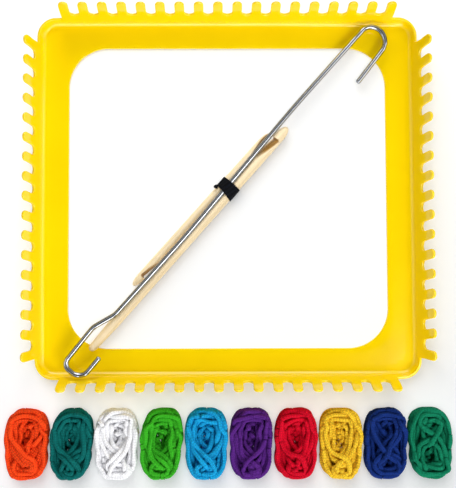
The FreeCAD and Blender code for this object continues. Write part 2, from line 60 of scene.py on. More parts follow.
# How far a row's outer pegs slant outwards on their way down to their feet
SLANT = 0.06 * MM


def length(name, millimetres, description):
    """A length setting, written in millimetres and kept in metres."""
    return FloatProperty(name=name, default=millimetres * MM, unit="LENGTH", precision=5,
                         description=description)


def angle(name, degrees, description):
    """An angle setting, written in degrees and kept in radians."""
    return FloatProperty(name=name, default=math.radians(degrees), unit="ROTATION", description=description)


def linear(code):
    """A hex colour as linear red, green and blue."""
    values = np.array([int(code[i:i + 2], 16) / 255 for i in (1, 3, 5)])
    return tuple(np.where(values <= 0.04045, values / 12.92, ((values + 0.055) / 1.055) ** 2.4))


def colour(name, code, description):
    """A colour setting, written as a hex colour."""
    return FloatVectorProperty(name=name, subtype="COLOR", size=3, min=0, max=1, default=linear(code),
                               description=description)


class FrameSizes(bpy.types.PropertyGroup):
    """Sizes of the pressed frame."""

    sheet: length("Sheet", 1.4, "Thickness of the steel sheet with its paint")
    edge: length("Edge round", 0.38, "Rounding of the painted sheet's edges")
    bend: length("Bend", 2.5, "Inside radius of the bend between flange and wall")
    draft: angle("Draft", 12, "Slope of the wall from upright")
    rim: length("Rim", 10, "Height of the rim between two pegs")
    corner_rim: length("Corner rim", 5.8, "Height of the rim round the corners")
    corner: length("Corner", 10.5, "Radius of the rim's corners")
    side_flange: length("Side flange", 11.3, "Width of the left and right flanges")
    end_flange: length("End flange", 10.5, "Width of the far and near flanges")
    window: length("Window corner", 20, "Radius of the window's corners")
    peg_width: length("Peg width", 4.8, "Width of a peg")
    peg_tip: length("Peg tip", 19.75, "Height of a peg's tip")
    tip_round: length("Tip round", 2.0, "Height of a tip's rounding")
    foot: length("Foot", 1.0, "Fillet at the foot of a row's outer pegs")
    flare: angle("Flare", 28, "Slope of a peg's tip from upright")
    end_pegs: IntProperty(name="End pegs", default=18, min=2, description="Pegs in the far and near rows")
    side_pegs: IntProperty(name="Side pegs", default=17, min=2, description="Pegs in the left and right rows")
    end_pitch: length("End pitch", 9.525, "Spacing of the pegs in the far and near rows")
    side_pitch: length("Side pitch", 9.58, "Spacing of the pegs in the left and right rows")
    row_shift: length("Row shift", -1.2, "How far the side rows sit towards the back")
    lean: length("Lean", 1.0, "How far the side pegs' tips lean towards the back")
    splay: length("Splay", 1.2, "How much less the side rows' foremost pegs lean to the back")
    paint: colour("Paint", "#FDD900", "Colour of the enamel")


class ToolSizes(bpy.types.PropertyGroup):
    """Sizes of the wire hook, the crochet hooks and the elastic tie, measured from the tie."""

    bundle_x: length("Bundle X", 2.0, "Where the tie crosses the long hook, from the loom's middle")
    bundle_y: length("Bundle Y", 3.1, "Where the tie crosses the long hook, from the loom's middle")
    long_heading: angle("Long heading", 48.4, "Direction of the long hook on the table")
    long_height: length("Long height", 4.25, "Height of the long hook's middle")
    long_radius: length("Long radius", 2.65, "Radius of the long hook")
    long_tail: length("Long tail", 106.4, "From the tie to the long hook's thin end")
    long_head: length("Long head", 42.6, "From the tie to the long hook's head")
    long_groove: length("Long groove", 20.3, "From the tie to the start of the long hook's groove")
    long_lip: length("Long lip", 34.4, "From the tie to the long hook's lip")
    long_depth: length("Long depth", 2.7, "Depth of the long hook's groove")
    long_tilt: angle("Long tilt", -42, "Turn of the long hook's groove to the right of upright")
    short_heading: angle("Short heading", 48.0, "Direction of the short hook on the table")
    short_side: length("Short side", 4.99, "How far the short hook lies to the left of the long one")
    short_height: length("Short height", 3.6, "Height of the short hook's middle")
    short_radius: length("Short radius", 2.0, "Radius of the short hook")
    short_tail: length("Short tail", 34, "From the tie to the short hook's slanted end")
    short_head: length("Short head", 68.3, "From the tie to the short hook's head")
    short_groove: length("Short groove", 50.7, "From the tie to the start of the short hook's groove")
    short_lip: length("Short lip", 62.2, "From the tie to the short hook's lip")
    short_depth: length("Short depth", 1.85, "Depth of the short hook's groove")
    short_tilt: angle("Short tilt", -65, "Turn of the short hook's groove to the right of upright")
    slant_run: length("Slant", 17, "From the tie to the start of the short hook's slanted flat")
    slant_depth: length("Slant depth", 2.55, "Depth of the slanted flat at its end")
    slant_tilt: angle("Slant tilt", 45, "Turn of the slanted flat to the right of upright")
    nose: length("Nose", 6, "Length of a hook head's rounded nose")
    butt_nose: length("Butt nose", 3, "Length of a rounded tail")
    butt_radius: length("Butt radius", 2.05, "Radius of the long hook's thin end")
    butt_taper: length("Butt taper", 14, "Length over which the long hook thins")
    lip_rise: length("Lip rise", 0.9, "Height of the slope at the bottom of a lip")
    lip_hook: length("Lip hook", 0.7, "How far a lip hangs over its groove")
    wire_radius: length("Wire radius", 1.25, "Radius of the wire")
    wire_heading: angle("Wire heading", 50.0, "Direction of the wire hook's stem")
    wire_side: length("Wire side", 2.8, "How far the wire lies to the left of the long hook")
    wire_height: length("Wire height", 7.38, "Height of the wire's middle at the tie")
    wire_drop: angle("Wire drop", 1.15, "How much the stem falls towards its large eye")
    stem_bow: length("Stem bow", 1.8, "How far the stem's ends lean aside, the left one to the left")
    bow_left: length("Left bow", 32.4, "From the tie to the middle of the stem's left bow")
    bow_right: length("Right bow", 50.5, "From the tie to the middle of the stem's right bow")
    bow_bend: length("Bow bend", 600, "Radius of the stem's bows")
    small_eye: length("Small eye", 119.37, "From the tie to the small eye's far side")
    eye_width: length("Small eye width", 11.5, "Width of the small eye between the wire's middles")
    eye_bend: length("Small eye bend", 4.2, "Radius of the bend where the shank meets the small eye")
    eye_side: length("Small eye side", 3.9, "How far the small eye's shank lies left of the stem's end")
    eye_tail: length("Small eye tail", 13.5, "Length of the small eye's open leg")
    jog_end: length("Jog end", 23.4, "From the small eye to the near end of the stem's jog")
    jog_start: length("Jog start", 35.2, "From the small eye to the far end of the stem's jog")
    jog_side: length("Jog side", 4.35, "How far the jog lies left of the stem's end")
    jog_bend: length("Jog bend", 10, "Radius of the jog's bends")
    large_eye: length("Large eye", 109.92, "From the tie to the large eye")
    large_width: length("Large eye width", 13.7, "Width of the large eye between the wire's middles")
    large_lean: length("Large eye lean", 1.5, "How far the large eye's second corner lies past the first")
    first_bend: length("Large eye first bend", 6.5, "Radius of the large eye's bend at the stem")
    large_bend: length("Large eye bend", 7.8, "Radius of the large eye's bend at its open leg")
    large_leg: length("Large eye leg", 28.4, "Length of the large eye's open leg")
    large_spread: length("Large eye spread", 1.1, "How far the open leg spreads from the stem")
    cord: length("Cord", 0.82, "Thickness of the elastic cord")
    cord_pitch: length("Cord pitch", 0.78, "Spacing of the elastic cord's turns")
    turns: IntProperty(name="Turns", default=8, min=1, description="Turns of the elastic cord")
    clearance: length("Clearance", 0.04, "Gap between the elastic cord and the tools")
    bunch: FloatProperty(name="Bunch", default=0.14, description="How much closer the left turns lie")
    askew: length("Askew", 0.27, "How far the winding's left side lies towards the upper right")
    tie_shift: length("Tie shift", 0.5, "How far the winding lies down the tools")
    knot_size: length("Knot size", 0.26, "A sixth of the width of the knot's cord line")
    knot_cord: length("Knot cord", 0.36, "Radius of the cord in the knot")
    tail_cord: length("Tail cord", 0.34, "Radius of the knot's two tails")
    bamboo: colour("Bamboo", "#F4DEB4", "Colour of the bamboo's outside")
    # The carved colour is partly the cut wood's own and partly painted shade in the hooks' throats
    cut_bamboo_and_shade: colour("Cut bamboo", "#C08F45", "Colour of the bamboo where it is carved")
    steel: colour("Steel", "#A8ABB0", "Colour of the wire")
    elastic: colour("Elastic", "#090B11", "Colour of the elastic cord")


class HankSizes(bpy.types.PropertyGroup):
    """Sizes and colours of the hanks of cotton loops."""

    strand: length("Strand", 2.12, "Thickness of a knitted strand")
    flatness: FloatProperty(name="Flatness", default=0.13, min=0, max=0.5, description="How flat a strand is")
    seed: IntProperty(name="Seed", default=5, description="Start of the hanks' random shapes")
    orange: colour("Orange", "#FF4A14", "Colour of the first hank")
    teal: colour("Teal", "#006C68", "Colour of the second hank")
    white: colour("White", "#FCFCFF", "Colour of the third hank")
    green: colour("Green", "#3AB522", "Colour of the fourth hank")
    sky: colour("Sky", "#12A5DF", "Colour of the fifth hank")
    purple: colour("Purple", "#582282", "Colour of the sixth hank")
    red: colour("Red", "#DC0027", "Colour of the seventh hank")
    yellow: colour("Yellow", "#FFD030", "Colour of the eighth hank")
    navy: colour("Navy", "#0F2F7B", "Colour of the ninth hank")
    emerald: colour("Emerald", "#067C58", "Colour of the tenth hank")


# Each hank's lie: where its loops cross, as a share of half its length, and how far it leans, in mm
HANKS = {"orange": (-0.5, 0.5), "teal": (-0.5, 1.2), "white": (-0.35, 0.3), "green": (-0.6, 1.2),
         "sky": (-0.5, 0.2), "purple": (-0.62, 0.4), "red": (-0.5, 0.5), "yellow": (-0.6, 0.1),
         "navy": (-0.1, 0.5), "emerald": (0.3, -0.6)}
# A hank's loops from the floor up: strands in from the outline, strands up, and how sharply each crosses
LAY = ((0, 0, 0), (0, 1, 0), (0.25, 2, 0), (0.1, 3, 0), (1.1, 0, 0), (1.2, 1, 0), (1, 2.2, 0),
       (2.3, 0.2, 0), (3.4, 0, 0), (4.2, 0.2, 0), (1, 2.4, 3), (1.9, 1.8, 3.3), (2.7, 2.2, 3),
       (0.8, 3.3, 2.6), (1.7, 3.2, 3.4))


def grid_faces(rows, columns, closed=False):
    """Quads of a grid of points, row by row; closed joins the last column to the first."""
    r, c = np.meshgrid(np.arange(rows - 1), np.arange(columns if closed else columns - 1), indexing="ij")
    right = (c + 1) % columns
    return np.stack([r * columns + c, r * columns + right, (r + 1) * columns + right, (r + 1) * columns + c],
                    axis=-1).reshape(-1, 4)


def joined(patches):
    """Several patches as one: each has its points, its faces and then any values for its points."""
    points, faces, *values = zip(*patches)
    points = [np.reshape(part, (-1, 3)) for part in points]
    starts = np.cumsum([0] + [len(part) for part in points[:-1]])
    return (np.concatenate(points), np.concatenate([part + start for part, start in zip(faces, starts)]),
            *(np.concatenate(part) for part in values))


def linked(name, data):
    """A new object in the scene."""
    made = bpy.data.objects.new(name, data)
    bpy.context.scene.collection.objects.link(made)
    return made


def new_piece(name, points, faces, material, marks=None, weld=0.002 * MM):
    """A smooth mesh object at the origin, with vectors for each point that its material reads by name.

    Points nearer than weld, at seams and poles, become one, and the faces are turned outwards.
    """
    mesh = bpy.data.meshes.new(name)
    mesh.from_pydata(points.tolist(), [], faces.tolist())
    mesh.shade_smooth()
    mesh.materials.append(material)
    for key, values in (marks or {}).items():
        layer = mesh.attributes.new(key, "FLOAT_VECTOR", "POINT")
        layer.data.foreach_set("vector", np.asarray(values, dtype=np.float32).reshape(-1))
    if weld:
        work = bmesh.new()
        work.from_mesh(mesh)
        bmesh.ops.remove_doubles(work, verts=work.verts, dist=weld)
        bmesh.ops.recalc_face_normals(work, faces=work.faces)
        work.to_mesh(mesh)
        work.free()
    return linked(name, mesh)


def unit(vectors):
    """The vectors at length one."""
    return vectors / np.linalg.norm(vectors, axis=-1, keepdims=True)


def add(tree, kind, links=None, **settings):
    """Add a node: settings go to its properties, and links set its inputs to a socket or a value."""
    node = tree.nodes.new(kind)
    for key, value in settings.items():
        setattr(node, key, value)
    for key, value in (links or {}).items():
        if isinstance(value, bpy.types.NodeSocket):
            tree.links.new(value, node.inputs[key])
        else:
            node.inputs[key].default_value = value
    return node


def new_material(name):
    """An empty node material and its tree."""
    material = bpy.data.materials.new(name)
    material.use_nodes = True
    material.node_tree.nodes.clear()
    return material, material.node_tree


def principled(material, inputs):
    """Finish a material with a Principled surface of these inputs."""
    shader = add(material.node_tree, "ShaderNodeBsdfPrincipled", inputs)
    add(material.node_tree, "ShaderNodeOutputMaterial", {"Surface": shader.outputs["BSDF"]})
    return material


def reading(tree, name, output="Vector"):
    """A piece's own vectors, read by name."""
    return add(tree, "ShaderNodeAttribute", attribute_name=name).outputs[output]


def stretched(tree, vector, scale):
    """A vector scaled along each axis."""
    return add(tree, "ShaderNodeMapping", {"Vector": vector, "Scale": scale}).outputs["Vector"]


def noise(tree, vector, size, detail, roughness=0.5):
    """Soft noise from 0 to 1, its largest waves this size."""
    return add(tree, "ShaderNodeTexNoise", {
        "Vector": vector, "Scale": 1 / size, "Detail": detail, "Roughness": roughness}).outputs["Fac"]


def maths(tree, operation, *values):
    """A Math node's result."""
    return add(tree, "ShaderNodeMath", dict(enumerate(values)), operation=operation).outputs[0]


def mapped(tree, value, low, high, start=0.0, end=1.0):
    """A number that goes from low to high as the value goes from start to end."""
    return add(tree, "ShaderNodeMapRange", {
        "Value": value, "From Min": start, "From Max": end, "To Min": low, "To Max": high}).outputs["Result"]


def bump(tree, height, strength, distance):
    """The normal of a surface with this height."""
    return add(tree, "ShaderNodeBump", {
        "Height": height, "Strength": strength, "Distance": distance}).outputs["Normal"]


def mixed(tree, share, one, other):
    """A blend of two colours, all of the other where the share is one."""
    return add(tree, "ShaderNodeMix", {"Factor": share, 6: one, 7: other}, data_type="RGBA").outputs[2]


def ramp(tree, factor, low, high, start, end):
    """A blend between two linear colours as the factor goes from start to end."""
    node = add(tree, "ShaderNodeValToRGB", {"Fac": factor})
    first, last = node.color_ramp.elements
    first.position, last.position = start, end
    first.color, last.color = (*low, 1), (*high, 1)
    return node.outputs["Color"]


def scaled(values, share):
    """A linear colour made darker or lighter."""
    return tuple(min(1.0, v * share) for v in values)


def enamel(paint):
    """Baked enamel on pressed steel: thick and glossy, with a faint orange peel that softens reflections."""
    material, tree = new_material("baked_enamel")
    place = add(tree, "ShaderNodeTexCoord").outputs["Object"]
    # The peel's cells are about 1.2 mm across, drawn at twice that so that they show
    peel = noise(tree, place, 2.4 * MM, 2.0)
    cloud = noise(tree, place, 35 * MM, 3.0)
    return principled(material, {
        "Base Color": ramp(tree, cloud, scaled(paint, 0.955), paint, 0.3, 0.7), "IOR": 1.5,
        "Roughness": mapped(tree, cloud, 0.09, 0.15), "Normal": bump(tree, peel, 0.06, 0.1 * MM)})


def wall_profile(sizes, height):
    """The upright sheet's middle: reach from the flat flange and the outward normal, at a height.

    The wall rises straight at the draft angle, and above the pegs' land it follows an arc out to the flare.
    """
    draft, flare = sizes.draft, sizes.flare
    outside = sizes.bend + sizes.sheet
    middle = sizes.bend + sizes.sheet / 2
    start_u = middle * math.cos(draft)
    start_z = outside - middle * math.sin(draft)
    land = land_height(sizes)
    arc = (sizes.peg_tip - land) / (math.sin(flare) - math.sin(draft))
    land_u = start_u + (land - start_z) * math.tan(draft)
    slope = np.arcsin(np.clip(math.sin(draft) + (height - land) / arc, math.sin(draft), 1))
    straight = start_u + (height - start_z) * math.tan(draft)
    reach = np.where(height > land, land_u + arc * (math.cos(draft) - np.cos(slope)), straight)
    return reach, np.cos(slope), -np.sin(slope)


def land_height(sizes):
    """Where the pegs begin: the half-round gaps between them reach down from there to the rim's height."""
    return sizes.rim + (sizes.end_pitch - sizes.peg_width) / 2


def bend_end(sizes):
    """The height of the sheet's middle where the bend meets the wall."""
    return sizes.bend + sizes.sheet - (sizes.bend + sizes.sheet / 2) * math.sin(sizes.draft)


def edge_round(sizes):
    """A rounded sheet edge, face to face: distance back from the edge, and offset from the sheet's middle."""
    turn = np.linspace(0, math.pi / 2, 4)
    back = sizes.edge * (1 - np.sin(turn))
    offset = sizes.sheet / 2 - sizes.edge + sizes.edge * np.cos(turn)
    return np.concatenate([back, back[::-1]]), np.concatenate([offset, -offset[::-1]])


def peg_outline(sizes):
    """A peg's right side and half its tip: distance from its middle, height and normal, from the land up."""
    shoulder = sizes.peg_tip - sizes.tip_round
    half = sizes.peg_width / 2
    rise = np.linspace(land_height(sizes), shoulder, 5)[:-1]
    turn = np.linspace(0, math.pi / 2, 7)
    normal = unit(np.stack([np.cos(turn) / half, np.sin(turn) / sizes.tip_round], axis=-1))
    side = np.stack([half + 0 * rise, rise, 1 + 0 * rise, 0 * rise], axis=-1)
    tip = np.column_stack([half * np.cos(turn), shoulder + sizes.tip_round * np.sin(turn), normal])
    return np.concatenate([side, tip])


def row_marks(sizes, side):
    """What a row's columns and outline share.

    These are the turns of a gap's half circle and its radius, the turns of a foot's quarter circle, and the
    places where the row's first foot starts and its last one ends.
    """
    reach = sizes.peg_width / 2 + sizes.foot + SLANT
    return (np.linspace(math.pi, TAU, 11)[1:-1], (side["pitch"] - sizes.peg_width) / 2,
            np.linspace(-math.pi / 2, 0, 5), side["pegs"][0] - reach, side["pegs"][-1] + reach)


def side_columns(sizes, side):
    """Along one side: each wall column's place and its top's height, kept back by the edge's rounding."""
    edge, land, run = sizes.edge, land_height(sizes), side["run"]
    half = sizes.peg_width / 2 - edge
    turn, round_gap, foot_turn, first, last = row_marks(sizes, side)
    lands = side["pegs"][:, None] + np.linspace(-half, half, 5)
    middle = (side["pegs"][:-1] + side["pegs"][1:])[:, None] / 2
    # The gap's half circle has the width between the pegs and the depth of the land above the rim
    gaps = middle + (round_gap + edge) * np.cos(turn)
    depth = (land - sizes.rim + edge) * np.sin(turn)
    body = np.concatenate([lands[:-1], gaps], axis=1).reshape(-1)
    tops = np.concatenate([land + 0 * lands[:-1], land + depth + 0 * gaps], axis=1).reshape(-1)
    foot = first + (sizes.foot + edge) * np.cos(foot_turn)
    foot_top = sizes.corner_rim + sizes.foot + (sizes.foot + edge) * np.sin(foot_turn)
    low = [sizes.corner_rim - edge]
    place = np.concatenate([[-run], foot, body, lands[-1], first + last - foot[::-1], [run]])
    top = np.concatenate([low, foot_top, tops, land + 0 * lands[-1], foot_top[::-1], low])
    return place, top


def side_outline(sizes, side):
    """One side's rim from corner to corner: place, height and outward normal, and the lean to add."""
    land, low = land_height(sizes), sizes.corner_rim
    turn, round_gap, foot_turn, first, last = row_marks(sizes, side)
    mirror = [-1, 1, -1, 1]
    right = peg_outline(sizes)
    gap = np.column_stack([side["pitch"] / 2 + round_gap * np.cos(turn),
                           land + (land - sizes.rim) * np.sin(turn), -np.cos(turn), -np.sin(turn)])
    cell = np.concatenate([right[:-1] * mirror, right[::-1], gap])
    cells = np.tile(cell, (len(side["pegs"]), 1, 1))
    cells[:, :, 0] += side["pegs"][:, None]
    body = cells.reshape(-1, 4)[:-len(gap)]
    leans = np.repeat(side["leans"], len(cell))[:-len(gap)]
    foot = np.column_stack([first + sizes.foot * np.cos(foot_turn),
                            low + sizes.foot * (1 + np.sin(foot_turn)),
                            -np.cos(foot_turn), -np.sin(foot_turn)])
    other = foot[::-1] * mirror
    other[:, 0] += first + last
    pad = np.zeros(1 + len(foot))
    outline = np.concatenate([[[-side["run"], low, 0, 1]], foot, body, other, [[side["run"], low, 0, 1]]])
    return outline, np.concatenate([pad, leans, pad])


def leaned(sizes, place, height, lean):
    """A place along a row, moved by the peg's lean, which grows from the land to the tip's shoulder."""
    land = land_height(sizes)
    share = np.clip((height - land) / (sizes.peg_tip - sizes.tip_round - land), 0, 1)
    return place + lean * share


def raised(flat, height):
    """Points from a grid of flat ones and their heights."""
    return np.concatenate([flat, np.broadcast_to(height, flat.shape[:-1])[..., None]], axis=-1)


def on_side(side, place, reach, height):
    """Points from a side's own measures: along it, outward from the flat flange, and up."""
    place, far, height = np.broadcast_arrays(place, side["half"] + reach, height)
    return raised(far[..., None] * side["out"] + place[..., None] * side["along"], height)


def fanned(side, turn):
    """Directions turned from a side's outward one to the one along it."""
    return np.cos(turn)[:, None] * side["out"] + np.sin(turn)[:, None] * side["along"]


def loom_sides(sizes):
    """The four sides, the radius of the corners' flat part, and the loom's middle.

    A side has its directions outward and along, its half size, straight run, window and pegs.
    """
    low, high = (np.array(corner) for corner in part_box("tray"))
    land = land_height(sizes)
    outside = sizes.bend + sizes.sheet
    slope = math.tan(sizes.draft)
    # The flat flange ends this far in from the land's outer face
    inset = outside * math.cos(sizes.draft) + (land - outside * (1 - math.sin(sizes.draft))) * slope
    half = (high - low)[:2] / 2 - inset
    window = half - [sizes.side_flange, sizes.end_flange]
    round_corner = sizes.corner - inset + (land - sizes.rim) * slope
    sides = []
    for out, along in (((1, 0), (0, 1)), ((0, 1), (-1, 0)), ((-1, 0), (0, -1)), ((0, -1), (1, 0))):
        end, back = out[0] == 0, along[1]
        count = sizes.end_pegs if end else sizes.side_pegs
        pitch = sizes.end_pitch if end else sizes.side_pitch
        leans = np.full(count, sizes.lean * back)
        if not end:
            leans[0 if back > 0 else -1] -= sizes.splay * back
        sides.append({
            "out": np.array(out), "along": np.array(along), "pitch": pitch, "leans": leans,
            "half": half @ np.abs(out), "run": half @ np.abs(along) - round_corner,
            "pegs": sizes.row_shift * back + (np.arange(count) - (count - 1) / 2) * pitch,
            "window": window @ np.abs(out), "window_run": window @ np.abs(along) - sizes.window})
    return sides, round_corner, np.append((low + high)[:2] / 2, 0)


def window_rim(sizes, side, spread, around):
    """The window's edge opposite each column, and the direction away from the window.

    Columns past the window's straight run share its rounded corner out evenly; spread is the outer path's
    length over one corner.
    """
    past = np.abs(around) - side["window_run"]
    away = fanned(side, np.clip(past / spread, 0, 1) * math.pi / 2 * np.sign(around))
    straight = np.clip(around, -side["window_run"], side["window_run"])
    centre = straight[:, None] * side["along"] + (side["window"] - sizes.window) * side["out"]
    return centre + sizes.window * away, away


def frame_patches(sizes):
    """The whole pressed sheet as patches: flange, bend, wall, pegs and rounded edges, on both faces.

    Each column runs from the window's edge over the flange, round the bend by an arc and up the wall to the
    rim.
    """
    sides, round_corner, middle = loom_sides(sizes)
    back, offset = edge_round(sizes)
    half = sizes.sheet / 2
    low = sizes.corner_rim
    share = np.linspace(0, 1, 5)
    turn = np.linspace(0, math.pi / 2, 10)
    swing = np.linspace(0, math.pi / 2 - sizes.draft, 8)[:, None]
    patches = []
    for side, after in zip(sides, sides[1:] + sides[:1]):
        spread = (side["run"] - side["window_run"] + after["run"] - after["window_run"]
                  + round_corner * math.pi / 2)
        place, top = side_columns(sizes, side)
        fan = fanned(side, turn)
        hub = (side["half"] - round_corner) * side["out"] + side["run"] * side["along"]
        straight_base = side["half"] * side["out"] + place[:, None] * side["along"]
        runs = [(straight_base, np.tile(side["out"], (len(place), 1)), top, place),
                (hub + round_corner * fan, fan, low - sizes.edge + 0 * turn,
                 side["run"] + round_corner * turn)]
        for base, away, tops, around in runs:
            edge, window_away = window_rim(sizes, side, spread, around)
            # The window's rounded edge
            patches.append(raised(edge + back[:, None, None] * window_away, (half - offset)[:, None]))
            inner = edge + sizes.edge * window_away
            for face in (half, -half):
                flat = inner * (1 - share[:, None, None]) + base * share[:, None, None]
                patches.append(raised(flat, half - face))
                radius = sizes.bend + half + face
                patches.append(raised(base + radius * np.sin(swing)[..., None] * away,
                                      sizes.bend + sizes.sheet - radius * np.cos(swing)))
                climb = bend_end(sizes) + (tops - bend_end(sizes)) * share[:, None]
                reach, normal_out, normal_up = wall_profile(sizes, climb)
                reach = reach + face * normal_out
                patches.append(raised(base + reach[..., None] * away, climb + face * normal_up))
        # The rim's rounded edge along the side, and round the corner
        outline, lean = side_outline(sizes, side)
        spot = outline[:, 0] - back[:, None] * outline[:, 2]
        climb = outline[:, 1] - back[:, None] * outline[:, 3]
        reach, normal_out, normal_up = wall_profile(sizes, climb)
        patches.append(on_side(side, leaned(sizes, spot, climb, lean), reach + offset[:, None] * normal_out,
                               climb + offset[:, None] * normal_up))
        climb = low - back[:, None] + 0 * turn
        reach, normal_out, normal_up = wall_profile(sizes, climb)
        reach = round_corner + reach + offset[:, None] * normal_out
        patches.append(raised(hub + reach[..., None] * fan, climb + offset[:, None] * normal_up))
        # The pegs' faces
        rows = peg_outline(sizes)
        width = rows[:, 0] - sizes.edge * rows[:, 2]
        climb = (rows[:, 1] - sizes.edge * rows[:, 3])[None, :, None]
        across = np.linspace(-1, 1, 5) * width[None, :, None]
        spot = leaned(sizes, side["pegs"][:, None, None] + across, climb, side["leans"][:, None, None])
        reach, normal_out, normal_up = wall_profile(sizes, climb)
        for face in (half, -half):
            patches += list(on_side(side, spot, reach + face * normal_out, climb + face * normal_up))
    return [(patch + middle, grid_faces(*patch.shape[:2])) for patch in patches]


def tube(path, side, radii, around, closed=False):
    """A profile carried along a path: round, or with two radii for each point, along side and square to it.

    Returns the points, the faces, and each point's run along the path and place across it, for the material.
    """
    if closed:
        ahead = unit(np.roll(path, -1, axis=0) - np.roll(path, 1, axis=0))
    else:
        ahead = unit(np.gradient(path, axis=0))
    side = unit(side - ahead * np.sum(side * ahead, axis=1, keepdims=True))
    other = np.cross(ahead, side)
    turn = np.arange(around) / around * TAU
    radii = np.broadcast_to(radii.reshape(len(path), -1), (len(path), 2))
    across = np.stack([radii[:, :1] * np.cos(turn), radii[:, 1:] * np.sin(turn)], axis=-1)
    points = path[:, None] + across[..., :1] * side[:, None] + across[..., 1:] * other[:, None]
    run = np.concatenate([[0], np.cumsum(np.linalg.norm(np.diff(path, axis=0), axis=1))])
    local = np.concatenate([np.broadcast_to(run[:, None, None], (*across.shape[:2], 1)), across], axis=-1)
    # A closed tube has one more row of faces, back to the first points
    faces = grid_faces(len(path) + closed, around, closed=True) % (len(path) * around)
    return points.reshape(-1, 3), faces, local.reshape(-1, 3)


def tool_place(sizes, heading, side, height, drop=0.0):
    """A tool's place as its start, its direction, the direction to its left and its own upright."""
    low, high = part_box("tray")
    base = sizes.long_heading
    start = np.array([(low.x + high.x) / 2 + sizes.bundle_x - side * math.sin(base),
                      (low.y + high.y) / 2 + sizes.bundle_y + side * math.cos(base), height])
    flat = np.array([math.cos(heading), math.sin(heading), 0])
    up = np.array([0, 0, 1])
    along = math.cos(drop) * flat - math.sin(drop) * up
    return start, np.stack([along, [-flat[1], flat[0], 0], math.sin(drop) * flat + math.cos(drop) * up])


def even_line(line, spacing):
    """The line's points spread evenly along it."""
    run = np.concatenate([[0], np.cumsum(np.linalg.norm(np.diff(line, axis=0), axis=1))])
    spots = np.linspace(0, run[-1], math.ceil(run[-1] / spacing) + 1)
    return np.stack([np.interp(spots, run, line[:, axis]) for axis in range(line.shape[1])], axis=1)


def bent_line(corners, bends):
    """A line through corners with an arc at each inner one.

    An arc of radius r starts r / tan(half the corner's angle) before its corner, and its hub lies
    r / sin(half the angle) from it, on the line that halves the corner.
    """
    corners = np.asarray(corners, dtype=float)
    parts = [corners[:1]]
    for before, here, after, bend in zip(corners, corners[1:], corners[2:], bends):
        back, ahead = unit(before - here), unit(after - here)
        half = math.acos(back @ ahead) / 2
        hub = here + unit(back + ahead) * bend / math.sin(half)
        turn = np.linspace(0, math.pi - 2 * half, 40)[:, None]
        start = here + back * bend / math.tan(half) - hub
        parts.append(hub + np.cos(turn) * start - np.sin(turn) * bend * back)
    return np.concatenate(parts + [corners[-1:]])


def nosed(line, radius, nose):
    """The line and its radii, carried on past both ends as half ellipsoids, nose times the radius long."""
    turn = np.linspace(0, math.pi / 2, 8)[1:]
    reach = nose * radius * np.sin(turn)[:, None]
    head = line[0] + reach * unit(line[0] - line[1])
    tail = line[-1] + reach * unit(line[-1] - line[-2])
    small = radius * np.cos(turn)
    radii = np.concatenate([small[::-1], np.full(len(line), radius), small])
    return np.concatenate([head[::-1], line, tail]), radii


def carved_rod(spots, round_radius, cuts):
    """A turned rod with flats carved in it: each point is the nearer of the round and a cut's floor.

    The round has a radius at each of its spots along the rod. A cut is a tilt and rows of place, floor and
    overhang. At an angle a from the cut's middle its floor's distance is floor / cos(a). The overhang moves
    the points of a lip along the rod, most at the cut's middle. A power mean, x^-20 + y^-20 to the power
    -1/20, softens each carved edge. Returns the points and each one's depth of carving, as a share of the
    radius.
    """
    around, power = 56, 20
    # Nothing is divided by less than these
    tiny, level = 1e-9, 0.02
    turn = np.arange(around) / around * TAU
    reach = np.repeat(round_radius[:, None], around, axis=1)
    x = np.repeat(spots[:, None], around, axis=1)
    solid = np.maximum(reach, tiny)
    for tilt, rows in cuts:
        facing = np.cos(turn + tilt)
        floor, over = (np.interp(spots, rows[:, 0], rows[:, part])[:, None] for part in (1, 2))
        cut = np.where(facing > level, floor / np.maximum(facing, level), 1.0)
        reach = (np.maximum(reach, tiny) ** -power + np.maximum(cut, tiny) ** -power) ** (-1 / power)
        x = x + over * np.clip(facing * 1.6 - 0.6, 0, 1)
    depth = 1 - reach / solid
    points = np.stack([x, reach * np.sin(turn), reach * np.cos(turn)], axis=-1)
    return points, np.where(solid > 1e-6, depth, 0)


def rod_profile(sizes, tail, tail_radius, radius, head, tail_nose, taper):
    """Spots along a rod and its radius there: an elliptic nose, a taper, a straight shank and a nose."""
    turn = np.linspace(0, math.pi / 2, 14)
    first = -tail + tail_nose
    last = head - sizes.nose
    spots = np.unique(np.concatenate([first - tail_nose * np.sin(turn), last + sizes.nose * np.sin(turn),
                                      np.arange(1 * MM - tail, head - 1 * MM, 0.28 * MM)]))
    straight = np.interp(spots, [first, first + taper], [tail_radius, radius])
    tail_part = np.sqrt(np.clip(1 - (np.minimum(spots - first, 0) / tail_nose) ** 2, 0, 1))
    head_part = np.sqrt(np.clip(1 - (np.maximum(spots - last, 0) / sizes.nose) ** 2, 0, 1))
    return spots, straight * tail_part * head_part


def throat_rows(sizes, radius, groove, lip, depth):
    """A hook's throat: a long slope down to its floor, a short slope up and a lip that hangs over it."""
    floor, rise = radius - depth, sizes.lip_rise
    soft = 0.25 * rise
    return np.array([
        (groove - 3 * MM, 2 * radius, 0), (groove, radius, 0), (lip - rise - soft, floor + 0.12 * soft, 0),
        (lip - rise + soft, floor + 0.25 * soft, 0), (lip - 0.35 * rise, floor + 0.5 * rise, 0),
        (lip, floor + rise, -0.1 * sizes.lip_hook), (lip + 0.3 * MM, 1.3 * radius, -sizes.lip_hook),
        (lip + 2.5 * MM, 2 * radius, 0)])


